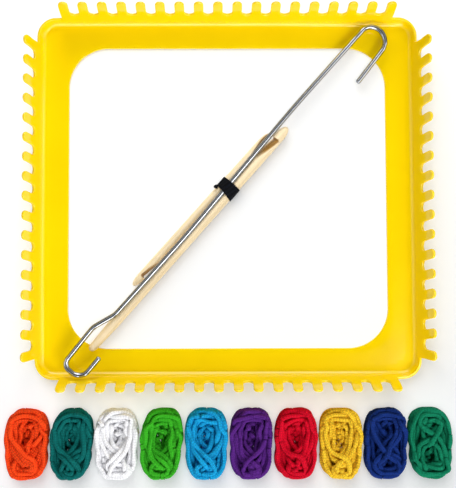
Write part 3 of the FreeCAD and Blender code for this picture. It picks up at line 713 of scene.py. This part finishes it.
def bamboo_hook(name, sizes, place, profile, cuts, mirrored=False):
    """A carved bamboo rod as a piece at its place, with its own coordinates for the grain."""
    points, depth = carved_rod(*profile, cuts)
    if mirrored:
        points = points * [-1, 1, 1]
    start, axes = place
    faces = grid_faces(*points.shape[:2], closed=True)
    return new_piece(name, start + points.reshape(-1, 3) @ axes, faces if mirrored else faces[:, ::-1],
                     bamboo(sizes), {"grain": points, "carved": np.repeat(depth.reshape(-1, 1), 3, axis=1)})


def bamboo(sizes):
    """Turned bamboo, lightly polished: straw-coloured with fine darker fibres, and a darker golden-brown
    where carved, partly the cut wood's own colour and partly painted shade in the throats.
    """
    material, tree = new_material("turned_bamboo")
    # Fibre bundles are about 0.4 mm across and 15 mm long
    fibres = stretched(tree, reading(tree, "grain"), (0.03, 1, 1))
    fine = noise(tree, fibres, 0.8 * MM, 3.0)
    broad = noise(tree, fibres, 3.0 * MM, 2.0)
    straw, dark = tuple(sizes.bamboo), tuple(sizes.cut_bamboo_and_shade)
    streaks = ramp(tree, fine, scaled(straw, 0.78), straw, 0.33, 0.55)
    tone = ramp(tree, broad, scaled(straw, 0.86), scaled(straw, 1.08), 0.35, 0.7)
    # Painted shade: carved faces get a darker golden-brown, partly the cut wood's own colour and partly the
    # shade in a hook's throat
    carved_and_shade = ramp(tree, fine, scaled(dark, 0.55), dark, 0.35, 0.6)
    share = mapped(tree, reading(tree, "carved", "Fac"), 0.0, 1.0, 0.04, 0.4)
    return principled(material, {
        "Base Color": mixed(tree, share, mixed(tree, 0.5, streaks, tone), carved_and_shade), "Roughness": 0.42,
        "IOR": 1.5, "Coat Weight": 0.15, "Coat Roughness": 0.25,
        "Normal": bump(tree, fine, 0.25, 0.05 * MM)})


def drawn_steel(sizes):
    """Bright nickel-plated steel wire: a mirror softened by faint lines that the drawing left along it."""
    material, tree = new_material("plated_drawn_steel")
    # Drawing lines are about 0.05 mm apart; drawn at 0.3 mm so that they show
    lines = stretched(tree, reading(tree, "run"), (0.02, 1, 1))
    fine = noise(tree, lines, 0.6 * MM, 2.0)
    # The dark tint is what the metal reflects at a glancing angle; it paints shade on the wire's edges,
    # leaving them dark
    return principled(material, {
        "Base Color": (*sizes.steel, 1), "Metallic": 1.0, "Roughness": mapped(tree, fine, 0.15, 0.22),
        "Specular Tint": (*scaled(sizes.steel, 0.4), 1), "Normal": bump(tree, fine, 0.02, 0.02 * MM)})


def braided_elastic(sizes):
    """Round elastic in a braided polyester cover: black, matt, with the braid's small slanted stitches."""
    material, tree = new_material("braided_elastic")
    run = reading(tree, "run")
    # The braid's stitches are about 0.5 mm; the two slants cross
    weave = [add(tree, "ShaderNodeTexWave", {
        "Vector": stretched(tree, run, (1, slant, 1)), "Scale": 1 / (3.2 * MM)},
        bands_direction="DIAGONAL").outputs["Fac"] for slant in (1.0, -1.0)]
    height = maths(tree, "MAXIMUM", *weave)
    black = tuple(sizes.elastic)
    return principled(material, {
        "Base Color": ramp(tree, height, scaled(black, 0.4), scaled(black, 1.5), 0.3, 0.9), "Roughness": 0.85,
        "Specular IOR Level": 0.1, "Normal": bump(tree, height, 0.35, 0.1 * MM)})


def taut_turn(circles):
    """One turn of a cord pulled round three circles: an arc on each, joined by their common tangents.

    The tangent from one circle to the next leaves at the heading between them, less the angle whose cosine is
    the difference of their radii over their distance.
    """
    parts = []
    for i, (x, y, r) in enumerate(circles):
        angles = []
        for a, b in ((circles[i - 1], circles[i]), (circles[i], circles[(i + 1) % 3])):
            lift = math.acos((a[2] - b[2]) / math.hypot(b[0] - a[0], b[1] - a[1]))
            angles.append(math.atan2(b[1] - a[1], b[0] - a[0]) - lift)
        sweep = (angles[1] - angles[0]) % TAU
        turn = angles[0] + np.linspace(0, sweep, 24)
        parts.append(np.stack([x + r * np.cos(turn), y + r * np.sin(turn)], axis=1))
    line = np.concatenate(parts)
    return even_line(np.concatenate([line, line[:1]]), 0.12 * MM)[:-1]


def laid_loops(rng, half, strand, cross):
    """The loops of a hank as they are laid down, one closed line each, round the hank's middle.

    Seen from above an open loop is an oblong, x ~ sin(t)^0.7 and y ~ cos(t)^0.9. A crossed one has
    x ~ tanh(k sin(t) (cos(t) - c)), which changes sides at the height c, one side above the other. Six random
    waves, each weaker than the last, waver it.
    """
    turn = np.arange(100) / 100 * TAU
    waves = np.arange(1, 7)[:, None]
    loops = []
    for inset, level, steep in LAY:
        inset += 0.15 * rng.normal() if inset > 0.5 else 0
        height = cross + 0.09 * rng.normal()
        if steep:
            across = np.tanh(steep * np.sin(turn) * (np.cos(turn) - height))
        else:
            across = np.sign(np.sin(turn)) * np.abs(np.sin(turn)) ** 0.7
        ahead = np.sign(np.cos(turn)) * np.abs(np.cos(turn)) ** 0.9
        rise = 0.5 * strand * np.sin(turn) * rng.choice((-1, 1)) * bool(steep)
        size = (0.15 if inset < 0.5 else 0.5) * MM * np.array([1, 0.5, 0.7])
        amounts = rng.normal(size=(3, 6, 1)) * size[:, None, None] / waves
        waver = np.sum(amounts * np.cos(waves * turn + rng.uniform(0, TAU, (3, 6, 1))), axis=1)
        nested = 1.0 if inset > 1.5 and not steep else 0.65
        loops.append(np.stack([(half[0] - strand * (0.5 + inset)) * across + waver[0],
                               (half[1] - strand * (0.5 + nested * inset)) * ahead + waver[1],
                               strand * (0.5 + 0.78 * level) + rise + waver[2]], axis=1))
    return np.array(loops)


def settled(loops, half, strand, lean, steps):
    """The loops after they settle: no strand in another, all inside the hank's outline and on the floor.

    In each step two points of different strands that are nearer than a strand's thickness move apart, along
    the line between them, or where the strands cross, along the normal to both. The moves are smoothed along
    each loop, the loops sink a little, and what is outside the outline |x/a|^3.2 + |y/b|^3.2 = 1, which has a
    waist below its middle and leans to one side, is drawn in.
    """
    count, points = loops.shape[:2]
    near = 0.96 * strand
    loop = np.repeat(np.arange(count), points)
    place = np.tile(np.arange(points), count)
    size_x, size_y = half[0] - strand / 2, half[1] - strand / 2
    # Two strands cross where the sine of their angle is above this
    crossing = 0.45
    # In each step pushes are shared out by ease, loops straighten by stiff and the hank sinks
    ease, stiff, sink = 1.67, 0.06, 0.03 * MM
    outline, waist, waist_place, waist_length = 3.2, 0.09, -0.15, 0.22
    tiny = 1e-6
    flat = loops.reshape(-1, 3).astype(np.float32)
    for step in range(steps):
        if step % 4 == 0:
            # The pairs that may touch within the next steps
            square = np.sum(flat * flat, axis=1)
            gaps = square[:, None] + square[None] - 2 * flat @ flat.T
            a, b = np.nonzero(np.triu(gaps < (near + 0.5 * MM) ** 2, 1))
            apart = np.abs(place[a] - place[b])
            other = (loop[a] != loop[b]) | (np.minimum(apart, points - apart) > 5)
            a, b = a[other], b[other]
        rows = flat.reshape(count, points, 3)
        ahead = unit(np.roll(rows, -1, 1) - np.roll(rows, 1, 1)).reshape(-1, 3)
        way = flat[a] - flat[b]
        gap = np.maximum(np.linalg.norm(way, axis=1, keepdims=True), tiny)
        normal = np.cross(ahead[a], ahead[b])
        bend = np.linalg.norm(normal, axis=1, keepdims=True)
        normal = normal / np.maximum(bend, tiny)
        side = np.sum(normal * way, axis=1, keepdims=True)
        across = np.maximum(near - np.abs(side), 0) * normal * np.where(side < 0, -1, 1)
        push = np.where(bend > crossing, across, (near - gap) * way / gap) * (gap < near)
        touching = (gap[:, 0] < near).astype(float)
        met = np.bincount(a, touching, len(flat)) + np.bincount(b, touching, len(flat))
        share = ease * np.maximum(met, 1)
        moves = np.stack([np.bincount(a, push[:, i], len(flat)) - np.bincount(b, push[:, i], len(flat))
                          for i in range(3)], axis=1) / share[:, None]
        moves = moves.reshape(rows.shape)
        rows = rows + sum(weight * np.roll(moves, shift, 1)
                          for shift, weight in ((-2, 1), (-1, 2), (0, 3), (1, 2), (2, 1))) / 9
        rows = rows + stiff * (np.roll(rows, 1, 1) + np.roll(rows, -1, 1) - 2 * rows)
        rows[..., 2] -= sink * (step < 0.8 * steps)
        flat = rows.reshape(-1, 3)
        share = flat[:, 1] / size_y
        narrow = waist * np.exp(-((share - waist_place) / waist_length) ** 2)
        width = size_x * (1 - narrow) - np.abs(lean * share)
        upright = flat[:, 0] - lean * share
        outside = np.abs(upright / width) ** outline + np.abs(share) ** outline
        inwards = np.maximum(outside, 1) ** (-1 / outline)
        height = np.clip(flat[:, 2], strand / 2, 2 * half[2] - strand / 2)
        flat = np.stack([upright * inwards + lean * share, flat[:, 1] * inwards, height], axis=1)
        flat = flat.astype(np.float32)
    return flat.reshape(loops.shape).astype(float)


def knitted_cotton(name, dye):
    """Dyed cotton jersey tube, curled up into a soft cord: matt and fuzzy, with rows of small V stitches
    whose hollows are painted in shade.
    """
    material, tree = new_material("cotton_jersey_" + name)
    local = add(tree, "ShaderNodeSeparateXYZ", {"Vector": reading(tree, "run")}).outputs
    # Six wales run round the cord, about 1.1 mm each, and a stitch is 1.3 mm long
    wale = maths(tree, "MULTIPLY_ADD", maths(tree, "ARCTAN2", local["Z"], local["Y"]), 6 / TAU, 20.0)
    wale = maths(tree, "PINGPONG", wale, 0.5)
    stitch = maths(tree, "MULTIPLY_ADD", local["X"], 1 / (1.3 * MM), wale)
    stitch = maths(tree, "PINGPONG", stitch, 0.5)
    fuzz = noise(tree, add(tree, "ShaderNodeTexCoord").outputs["Object"], 0.7 * MM, 4.0, 0.7)
    height = maths(tree, "MULTIPLY_ADD", maths(tree, "MULTIPLY", stitch, wale), 4.0, fuzz)
    shade = maths(tree, "MULTIPLY", height, reading(tree, "tone", "Fac"))
    # Painted shade: the stitches' hollows get a darker colour, down to about a third of the dye; a pale dye's
    # hollows are lit by what its strands pass on, so they are painted less dark
    dark = scaled(dye, 0.32 + 0.3 * min(dye))
    return principled(material, {
        "Base Color": ramp(tree, shade, dark, dye, 0.2, 0.85), "Roughness": 0.92, "IOR": 1.5,
        "Specular IOR Level": 0.15, "Sheen Weight": 0.15, "Sheen Roughness": 0.4,
        "Sheen Tint": (*scaled(dye, 1.3), 1), "Normal": bump(tree, height, 0.6, 0.18 * MM)})


class LOOM_OT_frame(bpy.types.Operator):
    """Build the pressed and enamelled frame"""

    bl_idname = "loom.frame"
    bl_label = "Frame"

    def execute(self, context):
        sizes = context.scene.loom_frame
        points, faces = joined(frame_patches(sizes))
        piece = new_piece("pressed_frame", points, faces, enamel(tuple(sizes.paint)), weld=0.004 * MM)
        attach(piece, "loom")
        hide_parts("tray", "peg_row_front", "peg_row_back", "peg_row_left", "peg_row_right")
        return {"FINISHED"}


class LOOM_OT_wire_hook(bpy.types.Operator):
    """Bend the steel wire hook"""

    bl_idname = "loom.wire_hook"
    bl_label = "Wire hook"

    def execute(self, context):
        sizes = context.scene.loom_tools
        low, high = -sizes.small_eye, sizes.large_eye
        bow = sizes.stem_bow
        inner = bow + sizes.eye_side - sizes.eye_width
        outer = -bow - sizes.large_width
        tip = high + sizes.large_lean
        corners = [(low + sizes.eye_tail, inner), (low, inner), (low, bow + sizes.eye_side),
                   (low + sizes.jog_end, bow + sizes.jog_side), (low + sizes.jog_start, bow),
                   (-sizes.bow_left, 0), (sizes.bow_right, 0), (high, -bow),
                   (tip, outer), (tip - sizes.large_leg, outer - sizes.large_spread)]
        bends = [sizes.eye_width / 2, sizes.eye_bend, sizes.jog_bend, sizes.jog_bend, sizes.bow_bend,
                 sizes.bow_bend, sizes.first_bend, sizes.large_bend]
        line = even_line(bent_line(corners, bends), 0.5 * MM)
        start, axes = tool_place(sizes, sizes.wire_heading, sizes.wire_side, sizes.wire_height,
                                 sizes.wire_drop)
        path, radii = nosed(line @ axes[:2] + start, sizes.wire_radius, 0.7)
        points, faces, run = tube(path, axes[2], radii, 20)
        piece = new_piece("bent_wire_hook", points, faces, drawn_steel(sizes), {"run": run})
        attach(piece, "wire")
        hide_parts("wire_hook")
        return {"FINISHED"}


class LOOM_OT_crochet_hooks(bpy.types.Operator):
    """Turn and carve the two bamboo crochet hooks"""

    bl_idname = "loom.crochet_hooks"
    bl_label = "Crochet hooks"

    def execute(self, context):
        sizes = context.scene.loom_tools
        rod = rod_profile(sizes, sizes.long_tail, sizes.butt_radius, sizes.long_radius, sizes.long_head,
                          sizes.butt_nose, sizes.butt_taper)
        rows = throat_rows(sizes, sizes.long_radius, sizes.long_groove, sizes.long_lip, sizes.long_depth)
        place = tool_place(sizes, sizes.long_heading, 0, sizes.long_height)
        piece = bamboo_hook("long_bamboo_hook", sizes, place, rod, [(sizes.long_tilt, rows)])
        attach(piece, "long_hook")
        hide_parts("long_crochet_hook")
        # The short hook points the other way, so it is made facing forward and then mirrored
        rod = rod_profile(sizes, sizes.short_tail, sizes.short_radius, sizes.short_radius, sizes.short_head,
                          sizes.nose, 1 * MM)
        rows = throat_rows(sizes, sizes.short_radius, sizes.short_groove, sizes.short_lip, sizes.short_depth)
        high = 2 * sizes.short_radius
        slant = np.array([(-sizes.short_tail, sizes.short_radius - sizes.slant_depth, 0),
                          (-sizes.slant_run, sizes.short_radius, 0), (-sizes.slant_run + 3 * MM, high, 0)])
        place = tool_place(sizes, sizes.short_heading, sizes.short_side, sizes.short_height)
        piece = bamboo_hook("short_bamboo_hook", sizes, place, rod,
                            [(-sizes.short_tilt, rows), (sizes.slant_tilt, slant)], mirrored=True)
        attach(piece, "short_hook")
        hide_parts("short_crochet_hook")
        return {"FINISHED"}


class LOOM_OT_elastic_tie(bpy.types.Operator):
    """Wind and knot the elastic tie"""

    bl_idname = "loom.elastic_tie"
    bl_label = "Elastic tie"

    def execute(self, context):
        sizes = context.scene.loom_tools
        # Pulled tight, the cord is wider along the tools and thinner square to them
        wide, thin = 1.2, 0.6
        room = sizes.clearance + thin * sizes.cord / 2
        turn = taut_turn([(0, sizes.long_height, sizes.long_radius + room),
                          (sizes.short_side, sizes.short_height, sizes.short_radius + room),
                          (sizes.wire_side, sizes.wire_height, sizes.wire_radius + room)])
        count = len(turn)
        step = np.arange(sizes.turns * count)
        lap = step / count
        spots = turn[(step + count // 3) % count]
        # Each turn lies beside the last, up to 0.05 mm nearer or further
        waver = 0.03 * MM * np.sin(lap * 2.9 + 0.6) + 0.02 * MM * np.sin(lap * TAU * 2)
        climb = (sizes.turns / 2 - lap) * sizes.cord_pitch + waver
        # The winding bunches up over the short hook and runs a little askew
        reach = (sizes.short_side + sizes.long_radius + sizes.short_radius) / 2
        aside = (spots[:, 0] - sizes.short_side / 2) / reach
        climb = climb * (1 - sizes.bunch * aside) + sizes.askew * aside - sizes.tie_shift
        start, axes = tool_place(sizes, sizes.long_heading, 0, 0)
        path, radii = nosed(np.column_stack([climb, spots]) @ axes + start, sizes.cord / 2, 0.5)
        points, faces, run = tube(path, axes[0], radii[:, None] * [wide, thin], 12)
        piece = new_piece("wound_elastic", points, faces, braided_elastic(sizes), {"run": run})
        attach(piece, "wire")
        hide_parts("elastic_tie")
        # The knot is a trefoil, (2 + cos 3t) cos 2t, (2 + cos 3t) sin 2t, 1.1 sin 3t, with two short tails
        low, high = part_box("tie_knot")
        middle = np.array((low + high) / 2)
        t = np.linspace(0, TAU, 160, endpoint=False)
        knot = sizes.knot_size * np.stack([(2 + np.cos(3 * t)) * np.cos(2 * t),
                                           (2 + np.cos(3 * t)) * np.sin(2 * t), 1.1 * np.sin(3 * t)], axis=1)
        radii = np.full(len(t), sizes.knot_cord)
        patches = [tube(knot @ axes + middle, [0.3, 0.2, 0.93], radii, 10, closed=True)]
        share = np.linspace(0, 1, 14)[:, None]
        for end in ((-1.0, 0.5, 0.2), (1.0, -0.9, -0.7)):
            tail = MM * (share * end + share * (1 - share) * [0.2, 0.3, 0.4])
            line, radii = nosed(tail @ axes + middle, sizes.tail_cord, 0.4)
            patches.append(tube(line, [0.1, 0.2, 0.97], radii, 10))
        points, faces, run = joined(patches)
        cover = bpy.data.materials["braided_elastic"]
        piece = new_piece("tie_knot_pulled", points, faces, cover, {"run": run})
        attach(piece, "wire")
        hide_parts("tie_knot")
        return {"FINISHED"}


class LOOM_OT_hanks(bpy.types.Operator):
    """Lay the ten hanks of knitted cotton loops"""

    bl_idname = "loom.hanks"
    bl_label = "Hanks"

    def execute(self, context):
        sizes = context.scene.loom_hanks
        flatness = [1 + sizes.flatness, 1 - sizes.flatness]
        waves = np.arange(1, 9)[:, None]
        for number, (name, (cross, lean)) in enumerate(HANKS.items()):
            low, high = (np.array(corner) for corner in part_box("loops_" + name))
            half = (high - low) / 2
            middle = np.array([(low[0] + high[0]) / 2, (low[1] + high[1]) / 2, low[2]])
            rng = np.random.default_rng(sizes.seed + number)
            loops = laid_loops(rng, half, sizes.strand, cross)
            loops = settled(loops, half, sizes.strand, lean * MM, 80)
            # Twice the points, by the loop's own waves
            count = 2 * loops.shape[1]
            loops = np.fft.irfft(np.fft.rfft(loops, axis=1), n=count, axis=1) * 2
            turn = np.arange(count) / count * TAU
            patches = []
            for line in loops:
                twist, swell = (np.sum(rng.normal(size=(8, 1))
                                       * np.cos(waves * turn + rng.uniform(0, TAU, (8, 1))), axis=0)
                                for _ in range(2))
                radii = (sizes.strand / 2 * (1 + 0.03 * swell))[:, None] * flatness
                side = np.stack([np.cos(0.5 * twist), np.sin(0.5 * twist), 0.6 * np.sin(twist)], axis=1)
                points, faces, run = tube(line + middle, side, radii, 10, closed=True)
                patches.append((points, faces, run, np.full((len(points), 3), rng.uniform(0.8, 1.1))))
            points, faces, run, tone = joined(patches)
            points[:, 2] = np.maximum(points[:, 2], low[2] + 0.02 * MM)
            cotton = knitted_cotton(name, tuple(getattr(sizes, name)))
            marks = {"run": run, "tone": tone}
            piece = new_piece("cotton_hank_" + name, points, faces, cotton, marks, weld=0)
            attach(piece, name + "_hank")
            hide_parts("loops_" + name)
        return {"FINISHED"}


# Each lamp's heading and height in degrees, its width in metres, its share of the light and what it lights
LAMPS = (("key", -42, 55, 0.5, 0.37, "metal"), ("front", -90, 27, 0.6, 0.29, "kit"),
         ("right", 0, 27, 0.6, 0.14, "kit"), ("back", 90, 27, 0.6, 0.29, "kit"),
         ("left", 180, 27, 0.6, 0.08, "kit"), ("above", 130, 72, 0.8, 0.52, "bamboo"),
         ("paper_side", 108, 42, 0.9, 0.6, "paper"), ("paper_top", 0, 88, 0.8, 0.48, "paper"))


class LOOM_OT_stage(bpy.types.Operator):
    """Set up the floor, lights and camera"""

    bl_idname = "loom.stage"
    bl_label = "Stage"

    def execute(self, context):
        scene = context.scene
        low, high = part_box("tray")
        loom_y = (low.y + high.y) / 2
        mesh = bpy.data.meshes.new("floor")
        mesh.from_pydata([(-2, -2, 0), (2, -2, 0), (2, 2, 0), (-2, 2, 0)], [], [(0, 1, 2, 3)])
        mesh.materials.append(floor_material())
        floor = linked("floor", mesh)
        # The lamp above lights the wooden hooks alone, in place of the key, because the flat flange would
        # mirror it
        hooks = [bpy.data.objects[name] for name in ("long_bamboo_hook", "short_bamboo_hook")]
        lit_by = {}
        for group, left_out, members in (("kit", True, [floor]), ("metal", True, [floor, *hooks]),
                                         ("bamboo", False, hooks), ("paper", False, [floor])):
            lit_by[group] = bpy.data.collections.new(group)
            for member in members:
                lit_by[group].objects.link(member)
            if left_out:
                for member in lit_by[group].collection_objects:
                    member.light_linking.link_state = "EXCLUDE"
        for name, heading, height, size, share, lights in LAMPS:
            heading, height = math.radians(heading), math.radians(height)
            light = bpy.data.lights.new(name, "AREA")
            light.size = size
            # A lamp gives a floor power * sin(height) / (pi distance)^2 times what turns white paper white
            light.energy = share * math.pi ** 2 / math.sin(height)
            lamp = linked(name, light)
            level = math.cos(height)
            lamp.location = (level * math.cos(heading), level * math.sin(heading), math.sin(height))
            lamp.rotation_euler = (-lamp.location).to_track_quat("-Z", "Y").to_euler()
            lamp.light_linking.receiver_collection = lit_by[lights]
        world = bpy.data.worlds.new("studio")
        world.use_nodes = True
        tree = world.node_tree
        tree.nodes.clear()
        # To the camera and in gloss the paper's far edge is white, below a dim room with a band of light
        up = add(tree, "ShaderNodeSeparateXYZ", {
            "Vector": add(tree, "ShaderNodeTexCoord").outputs["Generated"]}).outputs["Z"]
        bands = ramp(tree, up, (1, 1, 1), (0, 0, 0), 0.04, 0.1)
        for position, level in ((0.6, 0.0), (0.7, 1.0), (0.84, 1.0), (0.92, 0.03)):
            bands.node.color_ramp.elements.new(position).color = (level, level, level, 1)
        seen = add(tree, "ShaderNodeBackground", {"Color": bands, "Strength": 1.0})
        dim = add(tree, "ShaderNodeBackground", {"Color": (1, 1, 1, 1), "Strength": 0.1})
        mix = add(tree, "ShaderNodeMixShader", {0: seen_rays(tree), 1: dim.outputs[0], 2: seen.outputs[0]})
        add(tree, "ShaderNodeOutputWorld", {"Surface": mix.outputs[0]})
        scene.world = world
        # The camera's focal length, its picture's height and middle and its axis, in the picture's pixels
        focal, tall, middle, axis = 806, 488, (228, 244), (217.9, 211.9)
        data = bpy.data.cameras.new("camera")
        data.sensor_width = 36
        data.lens = focal * data.sensor_width / tall
        data.shift_x = (middle[0] - axis[0]) / tall
        data.shift_y = (axis[1] - middle[1]) / tall
        camera = linked("camera", data)
        camera.location = (-6.9 * MM, loom_y - 29.3 * MM, 408 * MM)
        camera.rotation_euler = [math.radians(turn) for turn in (3.065, -0.265, -0.161)]
        scene.camera = camera
        scene.view_settings.view_transform = "Standard"
        return {"FINISHED"}


def seen_rays(tree):
    """One for the rays that show a background: the camera's, and those in gloss and glass."""
    path = add(tree, "ShaderNodeLightPath").outputs
    glossy = maths(tree, "MAXIMUM", path["Is Camera Ray"], path["Is Glossy Ray"])
    return maths(tree, "MAXIMUM", glossy, path["Is Transmission Ray"])


def floor_material():
    """White seamless paper: matt, and a little lighter to the camera so that it reads as plain white."""
    material, tree = new_material("floor")
    paper = add(tree, "ShaderNodeBsdfDiffuse", {"Color": (0.8, 0.8, 0.8, 1)})
    away = add(tree, "ShaderNodeVectorMath", {0: add(tree, "ShaderNodeTexCoord").outputs["Object"]},
               operation="LENGTH").outputs["Value"]
    glow = add(tree, "ShaderNodeEmission", {
        "Color": (0.93, 0.97, 1.0, 1), "Strength": mapped(tree, away, 0.26, 1.0, 0.3, 0.9)})
    both = add(tree, "ShaderNodeAddShader", {0: paper.outputs[0], 1: glow.outputs[0]})
    mix = add(tree, "ShaderNodeMixShader", {0: seen_rays(tree), 1: paper.outputs[0], 2: both.outputs[0]})
    add(tree, "ShaderNodeOutputMaterial", {"Surface": mix.outputs[0]})
    return material


class LOOM_PT_kit(bpy.types.Panel):
    bl_label = "Potholder Loom"
    bl_space_type = "VIEW_3D"
    bl_region_type = "UI"
    bl_category = "Loom"

    def draw(self, context):
        layout = self.layout
        layout.use_property_split = True
        for sizes, operators in ((context.scene.loom_frame, ("loom.frame",)),
                                 (context.scene.loom_tools, ("loom.wire_hook", "loom.crochet_hooks",
                                                             "loom.elastic_tie")),
                                 (context.scene.loom_hanks, ("loom.hanks",))):
            box = layout.box()
            for name in sizes.__annotations__:
                box.prop(sizes, name)
            for operator in operators:
                box.operator(operator)
        layout.operator("loom.stage")


CLASSES = (FrameSizes, ToolSizes, HankSizes, LOOM_OT_frame, LOOM_OT_wire_hook, LOOM_OT_crochet_hooks,
           LOOM_OT_elastic_tie, LOOM_OT_hanks, LOOM_OT_stage, LOOM_PT_kit)


def register():
    for cls in CLASSES:
        bpy.utils.register_class(cls)
    bpy.types.Scene.loom_frame = PointerProperty(type=FrameSizes)
    bpy.types.Scene.loom_tools = PointerProperty(type=ToolSizes)
    bpy.types.Scene.loom_hanks = PointerProperty(type=HankSizes)


def unregister():
    for name in ("loom_hanks", "loom_tools", "loom_frame"):
        delattr(bpy.types.Scene, name)
    for cls in reversed(CLASSES):
        bpy.utils.unregister_class(cls)


def main():
    register()
    bpy.ops.loom.frame()
    bpy.ops.loom.wire_hook()
    bpy.ops.loom.crochet_hooks()
    bpy.ops.loom.elastic_tie()
    bpy.ops.loom.hanks()
    bpy.ops.loom.stage()


if __name__ == "__main__":
    main()
